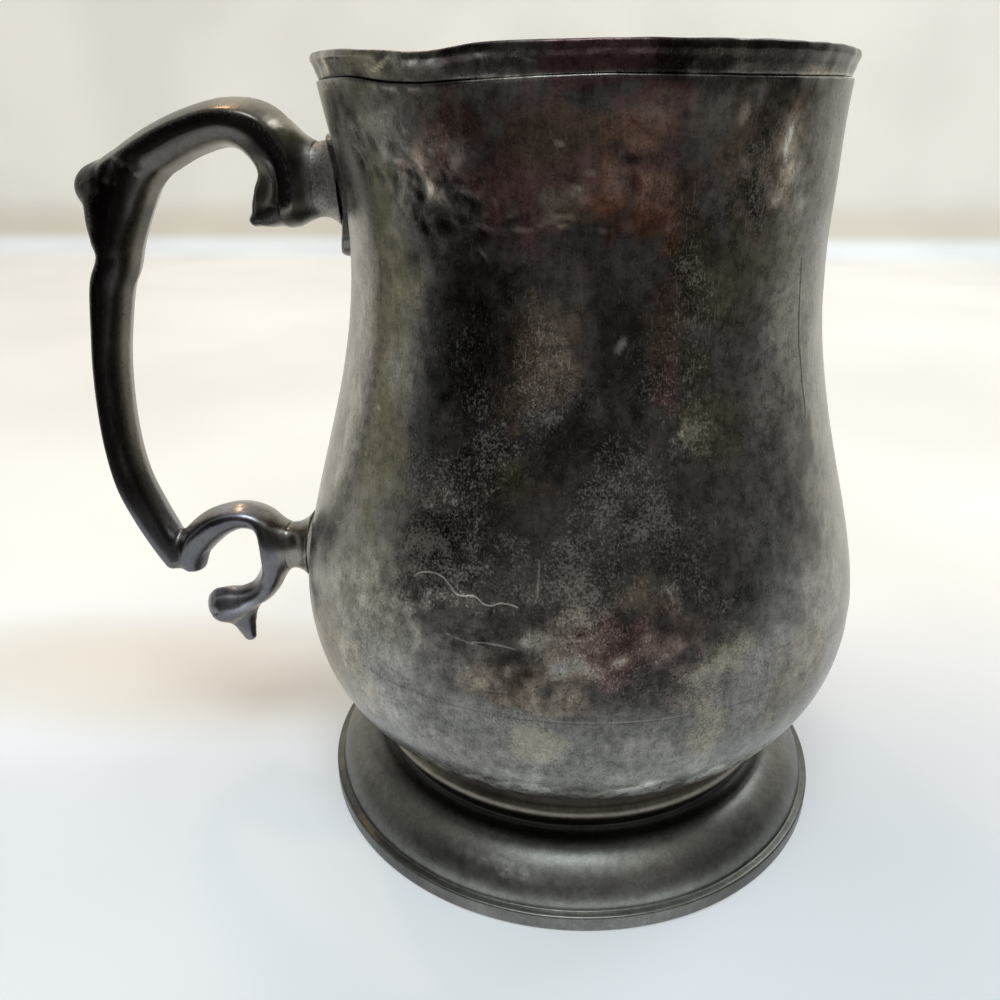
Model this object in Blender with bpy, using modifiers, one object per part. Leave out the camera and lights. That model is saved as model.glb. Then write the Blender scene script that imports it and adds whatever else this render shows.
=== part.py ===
"""A bellied pewter mug with a lip band, a moulded foot ring and a double scroll handle.

Lengths are in metres and +Z is up. The mug stands on z = 0 and its handle points to -X. Every
piece is modelled about the mug's own axis, and one empty on that axis carries them all, placed so
that the middle of the whole mug's box stands over the origin. A place on the handle is given as a
reach, its distance from the mug's axis, and a height.
"""

import math

import bmesh
import bpy
from mathutils import Vector

# Fits and fineness
seam_gap = 0.0003  # the solder film between two seated pieces
turn_steps = 48  # facets round a turned piece
flank_stations = 14  # rings along the body's outer line
lining_stations = 11  # rings along its inner line
bowl_stations = 10
pad_stations = 8
seat_stations = 12
slope_probe = 0.0001  # half the step that a surface's slope is read over
sharp_from = 35  # degrees between two faces, from which their edge is shaded sharp

# Body: the outer line of the wall
mug_height = 0.1270
lip_height = 0.0038  # the band round the mouth
lip_seam_radius = 0.0388
waist_radius = 0.03715
waist_drop = 0.0207  # from the lip band's seam down to the narrowest ring
lip_flare = 1.6  # higher keeps the flare closer to the lip
belly_radius = 0.04845
belly_rise = 0.0238  # from the foot's seat up to the widest ring
flank_fullness = 0.82  # lower pulls the flank in sooner above the belly
base_radius = 0.0366  # the bowl's flat base, which the foot carries
bowl_run_on = 1.15  # the bowl's curve would close this many times as far down as its base
bowl_power = 2.2  # 2 is an ellipse, and higher is fuller
wall = 0.0018
belly_lap = 0.0040  # the two halves of the body overlap this far
lip_lap = 0.0020  # the body's edge reaches this far up inside the band

# Lip band
band_inset = 0.0004  # the band's lower edge lies inside the body's shoulder
band_flare = 0.0009  # the band's upper edge leans out
band_round = 0.0006
band_bevel = 0.0012  # inner edge of the mouth

# Floor of the mug
base_plate = 0.0021  # thickness of the bowl's flat base
opening_radius = 0.0290  # hole in the base that the disc closes
disc_overlap = 0.0032
disc_thickness = 0.0016

# Foot ring
foot_height = 0.0182
foot_radius = 0.0465
plinth_height = 0.0030
plinth_step = 0.0014
plinth_chamfer = 0.0004
rest_width = 0.0038  # flat ring that the mug stands on
ovolo_height = 0.0074
collar_inset = 0.0011  # the collar lies inside the edge of the bowl's base
collar_wall = 0.0042
bead_radius = 0.0016
bead_height = 0.0151  # centre of the bead
bead_stand = 0.0003  # the bead's centre stands out from the collar
bead_sweep = 65  # degrees of the bead's round, above its middle and below
scotia_width = 0.0022  # the hollow between the ovolo and the bead
scotia_rise = 0.0011
scotia_start = 160  # degrees on the hollow's ellipse where it leaves the collar
ovolo_start = 75  # degrees on the ovolo's ellipse where it leaves the hollow
recess_rise = 0.0017  # straight wall inside the plinth, before the underside hollows
recess_sweep = 70  # degrees of the underside's hollow

# Tongue and pad under the struts
pad_thickness = 0.0015
pad_side = 0.0004  # a pad shows this much beside its strut's foot
tongue_margin = 0.0004  # and the tongue this much above it
tongue_tail = 0.0049  # and this much below it
lower_pad_margin = 0.0012  # the oval pad shows this much above and below the lower strut

# Struts that carry the handle
upper_strut_drop = 0.0139  # from the lip band's seam down to the strut's middle
upper_strut_tall = 0.0112
upper_strut_wide = 0.0084
upper_standoff = 0.0060  # from the wall to the back of the scroll
lower_strut_height = 0.0434
lower_strut_tall = 0.0086
lower_strut_wide = 0.0072
lower_standoff = 0.0064
strut_flare = 0.0015
flare_waist = 0.3  # share of the flare that is left a third of the way out
strut_root = 0.0045  # depth inside the wall where a strut starts, before its seat is cut
strut_sides = 16
socket_depth = 0.0030

# Handle
scroll_square = 0.001  # the scroll is drawn on squares of this size
scroll_sides = 14
section_power = 2.3  # 2 is an ellipse, and higher is squarer
samples_per_span = 3
dome_steps = 3
dome_end = 80  # degrees round a limb's dome where it is closed flat

# Finish: dark, oxidised pewter
body_colour = (0.12, 0.12, 0.115, 1.0)
body_roughness = 0.32
lip_colour = (0.14, 0.13, 0.12, 1.0)
lip_roughness = 0.45
foot_colour = (0.13, 0.13, 0.12, 1.0)
foot_roughness = 0.38
handle_colour = (0.10, 0.10, 0.10, 1.0)
handle_roughness = 0.35

# Places that follow from the sizes
lip_seam = mug_height - lip_height
waist_height = lip_seam - waist_drop
belly_height = foot_height + belly_rise
bowl_base = foot_height + seam_gap
upper_strut_height = lip_seam - upper_strut_drop


def bowl_tuck(drop):
    """How far the bowl has turned in, at this share of the way down to its base."""
    return 1 - (1 - (drop / bowl_run_on) ** bowl_power) ** (1 / bowl_power)


def body_radius(height):
    """The body's outer radius: a rounded bowl, an S-shaped flank and a flared mouth."""
    if height < belly_height:
        drop = (belly_height - height) / (belly_height - bowl_base)
        tuck = bowl_tuck(drop) / bowl_tuck(1)
        return belly_radius - (belly_radius - base_radius) * tuck
    if height < waist_height:
        share = (height - belly_height) / (waist_height - belly_height)
        swell = 0.5 + 0.5 * math.cos(math.pi * share**flank_fullness)
        return waist_radius + (belly_radius - waist_radius) * swell
    share = (height - waist_height) / waist_drop
    return waist_radius + (lip_seam_radius - waist_radius) * share**lip_flare


def in_wall(height, depth):
    """The place that lies this deep under the body's outer surface, as (radius, height)."""
    above = body_radius(height + slope_probe)
    below = body_radius(height - slope_probe)
    slope = (above - below) / (2 * slope_probe)
    length = math.hypot(1, slope)
    return body_radius(height) - depth / length, height + depth * slope / length


def spread(first, last, count):
    return [first + (last - first) * i / (count - 1) for i in range(count)]


def arc(centre, half_width, half_height, first, last, count):
    """Places on an ellipse between two angles in degrees, as (radius, height)."""
    return [
        (
            centre[0] + half_width * math.cos(math.radians(angle)),
            centre[1] + half_height * math.sin(math.radians(angle)),
        )
        for angle in spread(first, last, count)
    ]


def new_collection(name):
    collection = bpy.data.collections.new(name)
    bpy.context.scene.collection.children.link(collection)
    return collection


def object_of(name, mesh, collection):
    piece = bpy.data.objects.new(name, mesh)
    collection.objects.link(piece)
    return piece


def finish_mesh(mesh):
    mesh.shade_smooth()
    mesh.set_sharp_from_angle(angle=math.radians(sharp_from))


def turned(name, profile, collection, closed=True):
    """Turns a profile of (radius, height), running down its outer side, about the mug's axis."""
    mesh = bpy.data.meshes.new(name)
    points = [(radius, 0, height) for radius, height in profile]
    edges = [(i, i + 1) for i in range(len(points) - 1)]
    if closed:
        edges.append((len(points) - 1, 0))
    mesh.from_pydata(points, edges, [])
    piece = object_of(name, mesh, collection)
    screw = piece.modifiers.new("turn", "SCREW")
    screw.steps = turn_steps
    screw.render_steps = turn_steps
    screw.use_merge_vertices = True
    screw.merge_threshold = 0.00001
    screw.use_smooth_shade = True
    return piece


def smooth_stations(places, spans):
    """Reads more stations from a smooth curve through the given ones."""
    places = [Vector(place) for place in places]
    ends = [2 * places[0] - places[1]] + places + [2 * places[-1] - places[-2]]
    stations = []
    for before, start, stop, after in zip(ends, ends[1:], ends[2:], ends[3:]):
        for i in range(spans):
            t = i / spans
            stations.append(
                0.5
                * (
                    2 * start
                    + (stop - before) * t
                    + (2 * before - 5 * start + 4 * stop - after) * t**2
                    + (3 * start - before - 3 * stop + after) * t**3
                )
            )
    return stations + [places[-1]]


def section(centre, along, tall, wide, sides):
    """A ring of points square to the path: tall in the handle's plane, wide across it."""
    across = Vector((-along[1], along[0]))
    ring = []
    for i in range(sides):
        angle = 2 * math.pi * i / sides
        up = math.copysign(abs(math.cos(angle)) ** (2 / section_power), math.cos(angle))
        side = math.copysign(abs(math.sin(angle)) ** (2 / section_power), math.sin(angle))
        place = centre + across * up * tall / 2
        ring.append((-place[0], side * wide / 2, place[1]))
    return ring


def loft(name, rings, collection):
    """A closed solid through rings of points, with a flat cap at each end."""
    shape = bmesh.new()
    loops = [[shape.verts.new(point) for point in ring] for ring in rings]
    for lower, upper in zip(loops, loops[1:]):
        for i, vertex in enumerate(lower):
            j = (i + 1) % len(lower)
            shape.faces.new((vertex, lower[j], upper[j], upper[i]))
    shape.faces.new(loops[0])
    shape.faces.new(loops[-1])
    bmesh.ops.recalc_face_normals(shape, faces=shape.faces)
    mesh = bpy.data.meshes.new(name)
    shape.to_mesh(mesh)
    shape.free()
    finish_mesh(mesh)
    return object_of(name, mesh, collection)


def limb(name, places, collection, spans=samples_per_span, sides=scroll_sides):
    """One limb of the handle along (reach, height, tall, wide) places, with domed ends."""
    stations = smooth_stations(places, spans)
    centres = [Vector(station[:2]) for station in stations]
    rings = []
    for i, station in enumerate(stations):
        along = centres[min(i + 1, len(centres) - 1)] - centres[max(i - 1, 0)]
        along.normalize()
        rings.append((centres[i], along, station[2], station[3]))
    domed = []
    for sign, (centre, along, tall, wide) in ((-1, rings[0]), (1, rings[-1])):
        end = []
        for i in range(dome_steps):
            angle = math.radians(dome_end) * (i + 1) / dome_steps
            shrink = math.cos(angle)
            moved = centre + along * sign * math.sin(angle) * tall / 2
            end.append((moved, along, tall * shrink, wide * shrink))
        domed.append(end)
    rings = domed[0][::-1] + rings + domed[1]
    points = [section(centre, along, tall, wide, sides) for centre, along, tall, wide in rings]
    return loft(name, points, collection)


def cut(piece, tool, operation):
    modifier = piece.modifiers.new(operation.lower() + "_" + tool.name, "BOOLEAN")
    modifier.operation = operation
    modifier.object = tool
    modifier.solver = "EXACT"
    tool.hide_render = True
    tool.display_type = "WIRE"


def lip_band():
    """The band round the mouth, rebated over the body's upper edge."""
    foot = lip_seam + seam_gap
    outer_foot = lip_seam_radius - band_inset
    outer_top = lip_seam_radius - band_inset + band_flare
    inner = lip_seam_radius - wall
    rebate = lip_seam_radius - wall / 2 + seam_gap / 2
    ceiling = lip_seam + lip_lap + seam_gap
    corner = (outer_top - band_round, mug_height - band_round)
    profile = [(inner + band_bevel, mug_height)]
    profile += arc(corner, band_round, band_round, 90, 0, 4)
    profile += [
        (outer_top - band_flare / 2, lip_seam + lip_height / 2),
        (outer_foot, foot),
        (rebate, foot),
        (rebate, ceiling),
        (inner, ceiling),
        (inner, mug_height - band_bevel),
    ]
    return turned("lip_band", profile, parts)


def upper_body():
    """The flared upper casting, from the lip's seam down to the widest ring of the belly."""
    spigot_depth = wall / 2 + seam_gap / 2
    shoulder = belly_height + seam_gap / 2
    spigot_end = belly_height - belly_lap
    lip_spigot = lip_seam_radius - wall / 2 - seam_gap / 2
    profile = [(lip_spigot, lip_seam + lip_lap), (lip_spigot, lip_seam)]
    profile += [in_wall(height, 0) for height in spread(lip_seam, shoulder, flank_stations)]
    profile += [in_wall(shoulder, spigot_depth), in_wall(spigot_end, spigot_depth)]
    profile += [in_wall(height, wall) for height in spread(spigot_end, lip_seam, lining_stations)]
    profile.append((lip_seam_radius - wall, lip_seam + lip_lap))
    return turned("upper_body", profile, parts)


def lower_body():
    """The bowl below the widest ring, with a flat base that the foot carries."""
    lap_depth = wall / 2 - seam_gap / 2
    shoulder = belly_height - seam_gap / 2
    ledge_end = belly_height - belly_lap - seam_gap
    floor = bowl_base + base_plate
    ledge_top = floor - disc_thickness + seam_gap
    rebate_radius = opening_radius + disc_overlap + seam_gap
    outer = [in_wall(height, 0) for height in bowl_heights(shoulder)]
    inner = [in_wall(height, wall) for height in bowl_heights(ledge_end)]
    inner = [place for place in inner if place[1] > floor + seam_gap]
    profile = outer + [
        (opening_radius, bowl_base),
        (opening_radius, ledge_top),
        (rebate_radius, ledge_top),
        (rebate_radius, floor),
        (inner[-1][0] - wall, floor),
    ]
    profile += inner[::-1]
    profile += [in_wall(ledge_end, lap_depth), in_wall(shoulder, lap_depth)]
    return turned("lower_body", profile, parts)


def bowl_heights(first):
    """Heights from this one down, which crowd towards the bowl's base, where it turns in fastest."""
    quarter = spread(0, math.pi / 2, bowl_stations)
    return [bowl_base + (first - bowl_base) * (1 - math.sin(angle)) for angle in quarter]


def bottom_disc():
    """The floor of the mug: a stepped disc that seats in the hole of the bowl's base."""
    floor = bowl_base + base_plate
    ledge_top = floor - disc_thickness + seam_gap
    edge = opening_radius + disc_overlap
    spigot = opening_radius - seam_gap
    profile = [
        (0, floor),
        (edge, floor),
        (edge, ledge_top + seam_gap),
        (spigot, ledge_top + seam_gap),
        (spigot, bowl_base),
        (0, bowl_base),
    ]
    return turned("bottom_disc", profile, parts, closed=False)


def foot_ring():
    """The cast foot: a plinth, an ovolo, a hollow neck and a bead under the bowl."""
    collar = base_radius - collar_inset
    step_radius = foot_radius - plinth_step
    ovolo_top = plinth_height + ovolo_height
    scotia_middle = ovolo_top + scotia_rise
    ovolo_inner = collar + scotia_width
    bore = collar - collar_wall
    rest_inner = foot_radius - plinth_chamfer - rest_width
    bead = (collar + bead_stand, bead_height)
    scotia = (ovolo_inner, scotia_middle)
    ovolo = (ovolo_inner, plinth_height)
    recess = (bore, recess_rise)
    profile = [(collar, foot_height), (collar, bead_height + bead_radius)]
    profile += arc(bead, bead_radius, bead_radius, bead_sweep, -bead_sweep, 6)
    profile += arc(scotia, scotia_width, scotia_rise, scotia_start, 270, 5)
    profile += arc(ovolo, step_radius - ovolo_inner, ovolo_height, ovolo_start, 0, 7)
    profile += [
        (foot_radius, plinth_height),
        (foot_radius, plinth_chamfer),
        (foot_radius - plinth_chamfer, 0),
        (rest_inner, 0),
    ]
    profile += arc(recess, rest_inner - bore, ovolo_height, 0, recess_sweep, 4)
    profile += [(bore, scotia_middle), (bore, foot_height)]
    return turned("foot_ring", profile, parts)


def wall_shell(name, low, high, inner_off, outer_off, collection):
    """A skin that lies between two distances outside the body's surface."""
    heights = spread(high, low, pad_stations)
    outer = [in_wall(height, -outer_off) for height in heights]
    inner = [in_wall(height, -inner_off) for height in heights[::-1]]
    return turned(name, outer + inner, collection)


def pad_prism(name, outline, collection):
    """A block of this (across, height) outline, reaching from the axis out past the handle side."""
    far = 2 * belly_radius
    rings = [[(-reach, across, height) for across, height in outline] for reach in (0, far)]
    return loft(name, rings, collection)


def pad(name, outline):
    """A thin pad that fits the wall, with this outline seen along the handle's plane."""
    heights = [height for _, height in outline]
    low = min(heights) - pad_thickness
    high = min(max(heights) + pad_thickness, lip_seam)
    piece = wall_shell(name, low, high, seam_gap, seam_gap + pad_thickness, parts)
    cut(piece, pad_prism(name + "_outline", outline, cutters), "INTERSECT")
    return piece


def upper_tongue():
    """The tongue under the upper strut: square shouldered above, and drawn to a round tip."""
    half_tall = upper_strut_tall / 2 + strut_flare
    shoulder = upper_strut_wide / 2 + strut_flare + pad_side
    rounding = shoulder / 2
    corner_height = upper_strut_height + half_tall + tongue_margin - rounding
    tip_height = upper_strut_height - half_tall - tongue_tail + rounding
    outline = arc((0, tip_height), rounding, rounding, 180, 360, 9)
    outline.append((shoulder, upper_strut_height))
    outline += arc((shoulder - rounding, corner_height), rounding, rounding, 0, 90, 4)
    outline += arc((rounding - shoulder, corner_height), rounding, rounding, 90, 180, 4)
    outline.append((-shoulder, upper_strut_height))
    return pad("upper_tongue", outline)


def lower_pad():
    """The oval pad under the lower strut."""
    half_tall = lower_strut_tall / 2 + strut_flare + lower_pad_margin
    half_wide = lower_strut_wide / 2 + strut_flare + pad_side
    outline = arc((0, lower_strut_height), half_wide, half_tall, 0, 342, 20)
    return pad("lower_pad", outline)


def strut_rings(height, tall, wide, standoff, grow):
    """Sections of a strut, from inside the wall to the end of its socket in the handle."""
    surface = body_radius(height) + seam_gap + pad_thickness
    back = body_radius(height) + standoff
    stations = [
        (surface - strut_root, strut_flare),
        (surface, strut_flare),
        ((2 * surface + back) / 3, flare_waist * strut_flare),
        ((surface + 2 * back) / 3, 0),
        (back + socket_depth + grow, 0),
    ]
    along = Vector((1, 0))
    rings = []
    for reach, flare in stations:
        size = 2 * (flare + grow)
        centre = Vector((reach, height))
        rings.append(section(centre, along, tall + size, wide + size, strut_sides))
    return rings


def strut(name, height, tall, wide, standoff):
    """A short oval neck that seats on its pad and ends in a socket of the handle."""
    piece = loft(name, strut_rings(height, tall, wide, standoff, 0), parts)
    past_pad = 2 * seam_gap + pad_thickness
    heights = spread(min(height + tall, lip_seam), height - tall, seat_stations)
    seat = [in_wall(place, -past_pad) for place in heights]
    profile = [(0, seat[0][1])] + seat + [(0, seat[-1][1])]
    cut(piece, turned(name + "_seat", profile, cutters, closed=False), "DIFFERENCE")
    return piece


def handle():
    """The double scroll casting: upper arch, grip, lower scroll, volute eye and spur."""
    top_reach = body_radius(upper_strut_height) + upper_standoff
    low_reach = body_radius(lower_strut_height) + lower_standoff

    def drawn(reach, height, *squares):
        """A station this many squares out and up from a place, and so many tall and wide."""
        out, up, tall, wide = (count * scroll_square for count in squares)
        return reach + out, height + up, tall, wide

    def by_upper(out, up, tall, wide):
        """A station drawn from where the upper strut meets the scroll."""
        return drawn(top_reach, upper_strut_height, out, up, tall, wide)

    def by_lower(out, up, tall, wide):
        """A station drawn from where the lower strut meets the scroll."""
        return drawn(low_reach, lower_strut_height, out, up, tall, wide)

    def between(share, out, tall, wide):
        """A station beside the line that joins the two strut ends, at a share of the way up."""
        reach = low_reach + (top_reach - low_reach) * share
        height = lower_strut_height + (upper_strut_height - lower_strut_height) * share
        return drawn(reach, height, out, 0, tall, wide)

    arch = [
        by_upper(4.3, -2.8, 8.2, 10.5),
        by_upper(4.5, 2.5, 8.8, 11.5),
        by_upper(7.5, 7.0, 9.0, 12.5),
        by_upper(12.7, 8.4, 7.4, 12.5),
        by_upper(19.1, 7.0, 7.5, 12.2),
        by_upper(25.2, 4.3, 8.0, 12.0),
        by_upper(31.7, 1.3, 7.6, 11.0),
        by_upper(36.0, -0.9, 7.4, 9.5),
    ]
    toe = [
        by_upper(4.2, -3.2, 5.4, 8.5),
        by_upper(7.0, -4.7, 3.6, 8.0),
        by_upper(9.2, -5.2, 2.2, 7.0),
    ]
    leaf = [
        by_upper(35.1, -4.5, 7.6, 9.0),
        by_upper(35.0, -7.6, 7.3, 8.5),
        by_upper(34.4, -10.2, 6.0, 7.0),
    ]
    grip = [
        by_upper(27.2, 1.2, 8.4, 11.6),
        by_upper(31.0, -4.0, 7.8, 11.6),
        by_upper(33.6, -10.9, 6.5, 11.5),
        between(0.741, 33.4, 6.0, 11.2),
        between(0.627, 33.8, 5.7, 11.0),
        between(0.526, 33.7, 5.6, 10.8),
        between(0.405, 33.1, 5.7, 10.6),
        between(0.291, 31.8, 5.9, 10.4),
        between(0.189, 29.8, 6.1, 10.2),
        by_lower(25.6, 6.4, 6.1, 10.0),
        by_lower(23.2, 1.0, 5.8, 9.6),
        by_lower(21.7, -2.3, 5.0, 9.0),
    ]
    lower_scroll = [
        by_lower(18.9, -3.6, 4.2, 8.0),
        by_lower(17.9, 0.5, 5.6, 9.0),
        by_lower(14.6, 3.8, 5.4, 9.0),
        by_lower(11.0, 5.4, 5.0, 8.8),
        by_lower(7.6, 5.9, 4.8, 8.6),
        by_lower(4.3, 4.5, 4.8, 8.4),
        by_lower(2.6, 1.3, 4.9, 8.4),
        by_lower(2.5, -2.7, 4.8, 8.2),
        by_lower(3.7, -6.5, 4.6, 7.8),
        by_lower(5.8, -9.7, 4.3, 7.4),
        by_lower(8.7, -12.1, 4.4, 7.2),
        by_lower(11.4, -13.2, 5.6, 7.4),
        by_lower(13.2, -13.8, 7.2, 7.6),
    ]
    spur = [
        by_lower(8.2, -13.6, 4.4, 5.0),
        by_lower(9.3, -17.4, 3.4, 3.8),
        by_lower(9.7, -20.2, 2.4, 2.8),
    ]
    piece = limb("scroll_handle", arch, parts)
    cut(piece, limb("handle_grip", grip, cutters), "UNION")
    cut(piece, limb("handle_leaf", leaf, cutters), "UNION")
    cut(piece, limb("handle_toe", toe, cutters), "UNION")
    cut(piece, limb("handle_lower_scroll", lower_scroll, cutters), "UNION")
    cut(piece, limb("handle_spur", spur, cutters), "UNION")
    for name, height, tall, wide, standoff in struts:
        rings = strut_rings(height, tall, wide, standoff, seam_gap)
        cut(piece, loft(name + "_socket", rings, cutters), "DIFFERENCE")
    return piece


def stand_over_origin(pieces):
    """Puts every piece on one empty, and moves it so that the mug's box is centred over z = 0."""
    axis = bpy.data.objects.new("mug_axis", None)
    parts.objects.link(axis)
    for piece in pieces:
        piece.parent = axis
    for helper in cutters.objects:
        helper.parent = axis
    bpy.context.view_layer.update()
    graph = bpy.context.evaluated_depsgraph_get()
    reach = [
        (piece.evaluated_get(graph).matrix_world @ vertex.co).x
        for piece in pieces
        for vertex in piece.evaluated_get(graph).data.vertices
    ]
    axis.location.x = -(min(reach) + max(reach)) / 2
    bpy.context.view_layer.update()


def paint(piece, colour, roughness):
    """Gives a piece its own pewter, metallic and dull grey."""
    material = bpy.data.materials.new(piece.name + "_pewter")
    material.use_nodes = True
    shader = material.node_tree.nodes["Principled BSDF"]
    shader.inputs["Base Color"].default_value = colour
    shader.inputs["Metallic"].default_value = 1.0
    shader.inputs["Roughness"].default_value = roughness
    piece.data.materials.append(material)


for old in list(bpy.data.objects):
    bpy.data.objects.remove(old)
parts = new_collection("pewter_mug")
cutters = new_collection("cutters")

struts = [
    ("upper_strut", upper_strut_height, upper_strut_tall, upper_strut_wide, upper_standoff),
    ("lower_strut", lower_strut_height, lower_strut_tall, lower_strut_wide, lower_standoff),
]
body_pieces = [upper_body(), lower_body(), bottom_disc()]
band = lip_band()
foot = foot_ring()
handle_pieces = [handle(), upper_tongue(), lower_pad()]
handle_pieces += [strut(*sizes) for sizes in struts]

for piece in body_pieces:
    paint(piece, body_colour, body_roughness)
paint(band, lip_colour, lip_roughness)
paint(foot, foot_colour, foot_roughness)
for piece in handle_pieces:
    paint(piece, handle_colour, handle_roughness)

stand_over_origin(body_pieces + [band, foot] + handle_pieces)
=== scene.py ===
"""Looks of a bellied pewter mug with a double scroll handle, laid over its solids.

+Z is up and the handle points to -X. Sizes below are in millimetres, and a mesh is turned into
metres when it is made. A place on the wall is given by its azimuth, in degrees round the mug's axis
from the front (-Y) towards +X, and its height.
"""

import math

import bmesh
import bpy
import numpy as np
from mathutils import Matrix, Vector


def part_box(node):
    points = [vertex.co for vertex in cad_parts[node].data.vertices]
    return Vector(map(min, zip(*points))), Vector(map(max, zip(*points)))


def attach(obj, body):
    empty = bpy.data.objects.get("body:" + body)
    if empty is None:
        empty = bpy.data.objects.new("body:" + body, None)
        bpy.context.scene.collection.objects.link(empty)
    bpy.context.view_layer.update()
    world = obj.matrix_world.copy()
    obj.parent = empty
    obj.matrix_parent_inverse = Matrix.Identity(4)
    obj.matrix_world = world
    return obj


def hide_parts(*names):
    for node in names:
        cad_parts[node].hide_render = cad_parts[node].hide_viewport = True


millimetre = 0.001

# Body: the same outer line as the solids
mug_height = 127.0
lip_height = 3.8
lip_seam_radius = 38.8
waist_radius = 37.15
waist_drop = 20.7
lip_flare = 1.6
belly_radius = 48.45
belly_rise = 23.8
flank_fullness = 0.82
base_radius = 36.6
bowl_run_on = 1.15
bowl_power = 2.2
wall = 1.8
skin = 0.35 * wall  # counts as the outer surface
lining_relief = 0.6
lap_tall = 4.0  # the two halves of the body overlap this far
lap_slack = 0.15
ledge_slack = 0.2
foot_height = 18.2
mouth_lean = 1.3  # towards the handle
mouth_spread = 0.25
lean_start = 104.0  # heights from which the mouth leans, and its seam and rim wave
wave_start = 107.0
edge_lumps = 0.06  # of the rim's top edge
solder_line = 0.05  # the seam that shows under the lip band
belly_line = 0.03  # the belly seam is filled and hardly shows
lip_seam = mug_height - lip_height
waist_height = lip_seam - waist_drop
belly_height = foot_height + belly_rise
bowl_base = foot_height + 0.3
mean_radius = 42.0  # of the wall, where degrees are read as mm
inside_belly = 0.01  # the worn wall stays this far inside its widest ring

# Lip band
lip_lap = 2.0  # the body's edge reaches this far up inside it
lip_slack = 0.1
band_inset = 0.42  # its foot lies inside the wall's shoulder
band_stand = 0.52  # and its upper edge outside
band_edge = 0.9  # how tall that edge is
band_lean = 0.1
band_hollow = 0.45
bevel_wide = 0.9  # of the inner edge of the mouth
bevel_tall = 1.1

# Floor of the mug
floor_thick = 2.1
base_hole = 29.0
floor_seat = 32.5
seat_depth = 1.3
disc_thick = 1.0  # at its rim, which lies in the seat
disc_gap = 0.3

# Foot ring
foot_radius = 46.5
foot_rest = 4.2  # how wide the ring is that it stands on
plinth_tall = 3.0
plinth_step = 1.4
ovolo_tall = 7.4
ovolo_lift = 0.25  # the ovolo's ellipse starts a little over the plinth
collar_inset = 1.1
collar_wall = 4.2
bead_radius = 1.6
bead_drop = 3.1  # from the collar's top to the bead's middle
bead_stand = 0.3
scotia_width = 2.2
scotia_rise = 1.1
recess_rise = 1.7  # straight wall inside the plinth

# Wear that shows in the wall's shape
crease_height = 106.4
crease_depth = 0.10
fold_relief = 0.20
flattening = 0.55  # of the wall beside the handle
band_lumps = 0.11

# Handle and its two necks
upper_strut_height = lip_seam - 13.9
upper_strut_tall = 11.2
upper_strut_wide = 8.4
upper_standoff = 6.0
lower_strut_height = 43.4
lower_strut_tall = 8.6
lower_strut_wide = 7.2
lower_standoff = 6.4
strut_flare = 1.5
pad_thickness = 1.5
mid_handle = 80.0  # between its upper and lower ends

# Fineness
ring_gap = 0.62  # between rings on the outer wall
inner_gap = 2.4
front_step = 0.58  # degrees between columns at the front
back_step = 1.6
voxel = 0.34  # of the grid that holds half of the handle: reach, side and height
grid_low = (34.0, 0.0, 16.0)
grid_high = (92.0, 8.0, 125.0)

# Camera: in front of the mug, above its rim, looking down
camera_place = (0.0, -149.86, 120.52)  # from the foot of the mug's axis
camera_down = 23.877
camera_yaw = -5.199
camera_roll = -0.399
camera_lens = 32.4

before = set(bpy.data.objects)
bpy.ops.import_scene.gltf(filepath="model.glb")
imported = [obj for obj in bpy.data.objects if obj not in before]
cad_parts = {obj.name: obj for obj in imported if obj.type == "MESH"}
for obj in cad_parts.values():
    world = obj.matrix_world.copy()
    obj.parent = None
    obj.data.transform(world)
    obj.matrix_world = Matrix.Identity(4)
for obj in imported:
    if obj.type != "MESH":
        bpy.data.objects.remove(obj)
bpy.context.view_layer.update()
lip_low, lip_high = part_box("lip_band")
axis_x = (lip_low[0] + lip_high[0]) / 2 / millimetre


# Shape of the wall


def body_radius(height):
    """The wall's outer radius: a rounded bowl, an S-shaped flank and a flared mouth."""
    height = np.asarray(height, float)

    def tuck(drop):
        return 1 - (1 - (drop / bowl_run_on) ** bowl_power) ** (1 / bowl_power)

    drop = np.clip((belly_height - height) / (belly_height - bowl_base), 0, 1)
    bowl = belly_radius - (belly_radius - base_radius) * tuck(drop) / tuck(1)
    share = np.clip((height - belly_height) / (waist_height - belly_height), 0, 1)
    swell = 0.5 + 0.5 * np.cos(np.pi * share**flank_fullness)
    flank = waist_radius + (belly_radius - waist_radius) * swell
    rise = np.clip((height - waist_height) / waist_drop, 0, 1.3)
    mouth = waist_radius + (lip_seam_radius - waist_radius) * rise**lip_flare
    return np.where(height < belly_height, bowl, np.where(height < waist_height, flank, mouth))


def in_wall(height, depth):
    """The place this deep under the wall's outer surface, as (radius, height)."""
    probe = 0.1
    slope = (body_radius(height + probe) - body_radius(height - probe)) / (2 * probe)
    length = np.hypot(1, slope)
    return float(body_radius(height) - depth / length), float(height + depth * slope / length)


def smoothstep(value, low, high):
    share = np.clip((value - low) / (high - low), 0, 1)
    return share * share * (3 - 2 * share)


def turn_between(a, b):
    """The signed angle from b to a, in degrees."""
    return (a - b + 180) % 360 - 180


def soft_noise(azimuth, height, seed, size, waves=24):
    """A smooth random field on the wall, about -1 to 1, whose bumps are about this many mm wide."""
    draw = np.random.RandomState(seed)
    x = mean_radius * np.sin(np.radians(azimuth))
    y = -mean_radius * np.cos(np.radians(azimuth))
    total = np.zeros(np.broadcast(azimuth, height).shape)
    for _ in range(waves):
        way = draw.normal(size=3)
        way *= draw.uniform(0.6, 1.5) * math.pi / size / np.linalg.norm(way)
        total += np.sin(way[0] * x + way[1] * y + way[2] * height + draw.uniform(0, 2 * math.pi))
    return total / math.sqrt(waves / 2) / 2


def hump(value, middle, width):
    """1 where a value is at its middle, and falling off softly on both sides."""
    return np.exp(-(((value - middle) / width) ** 2))


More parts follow.
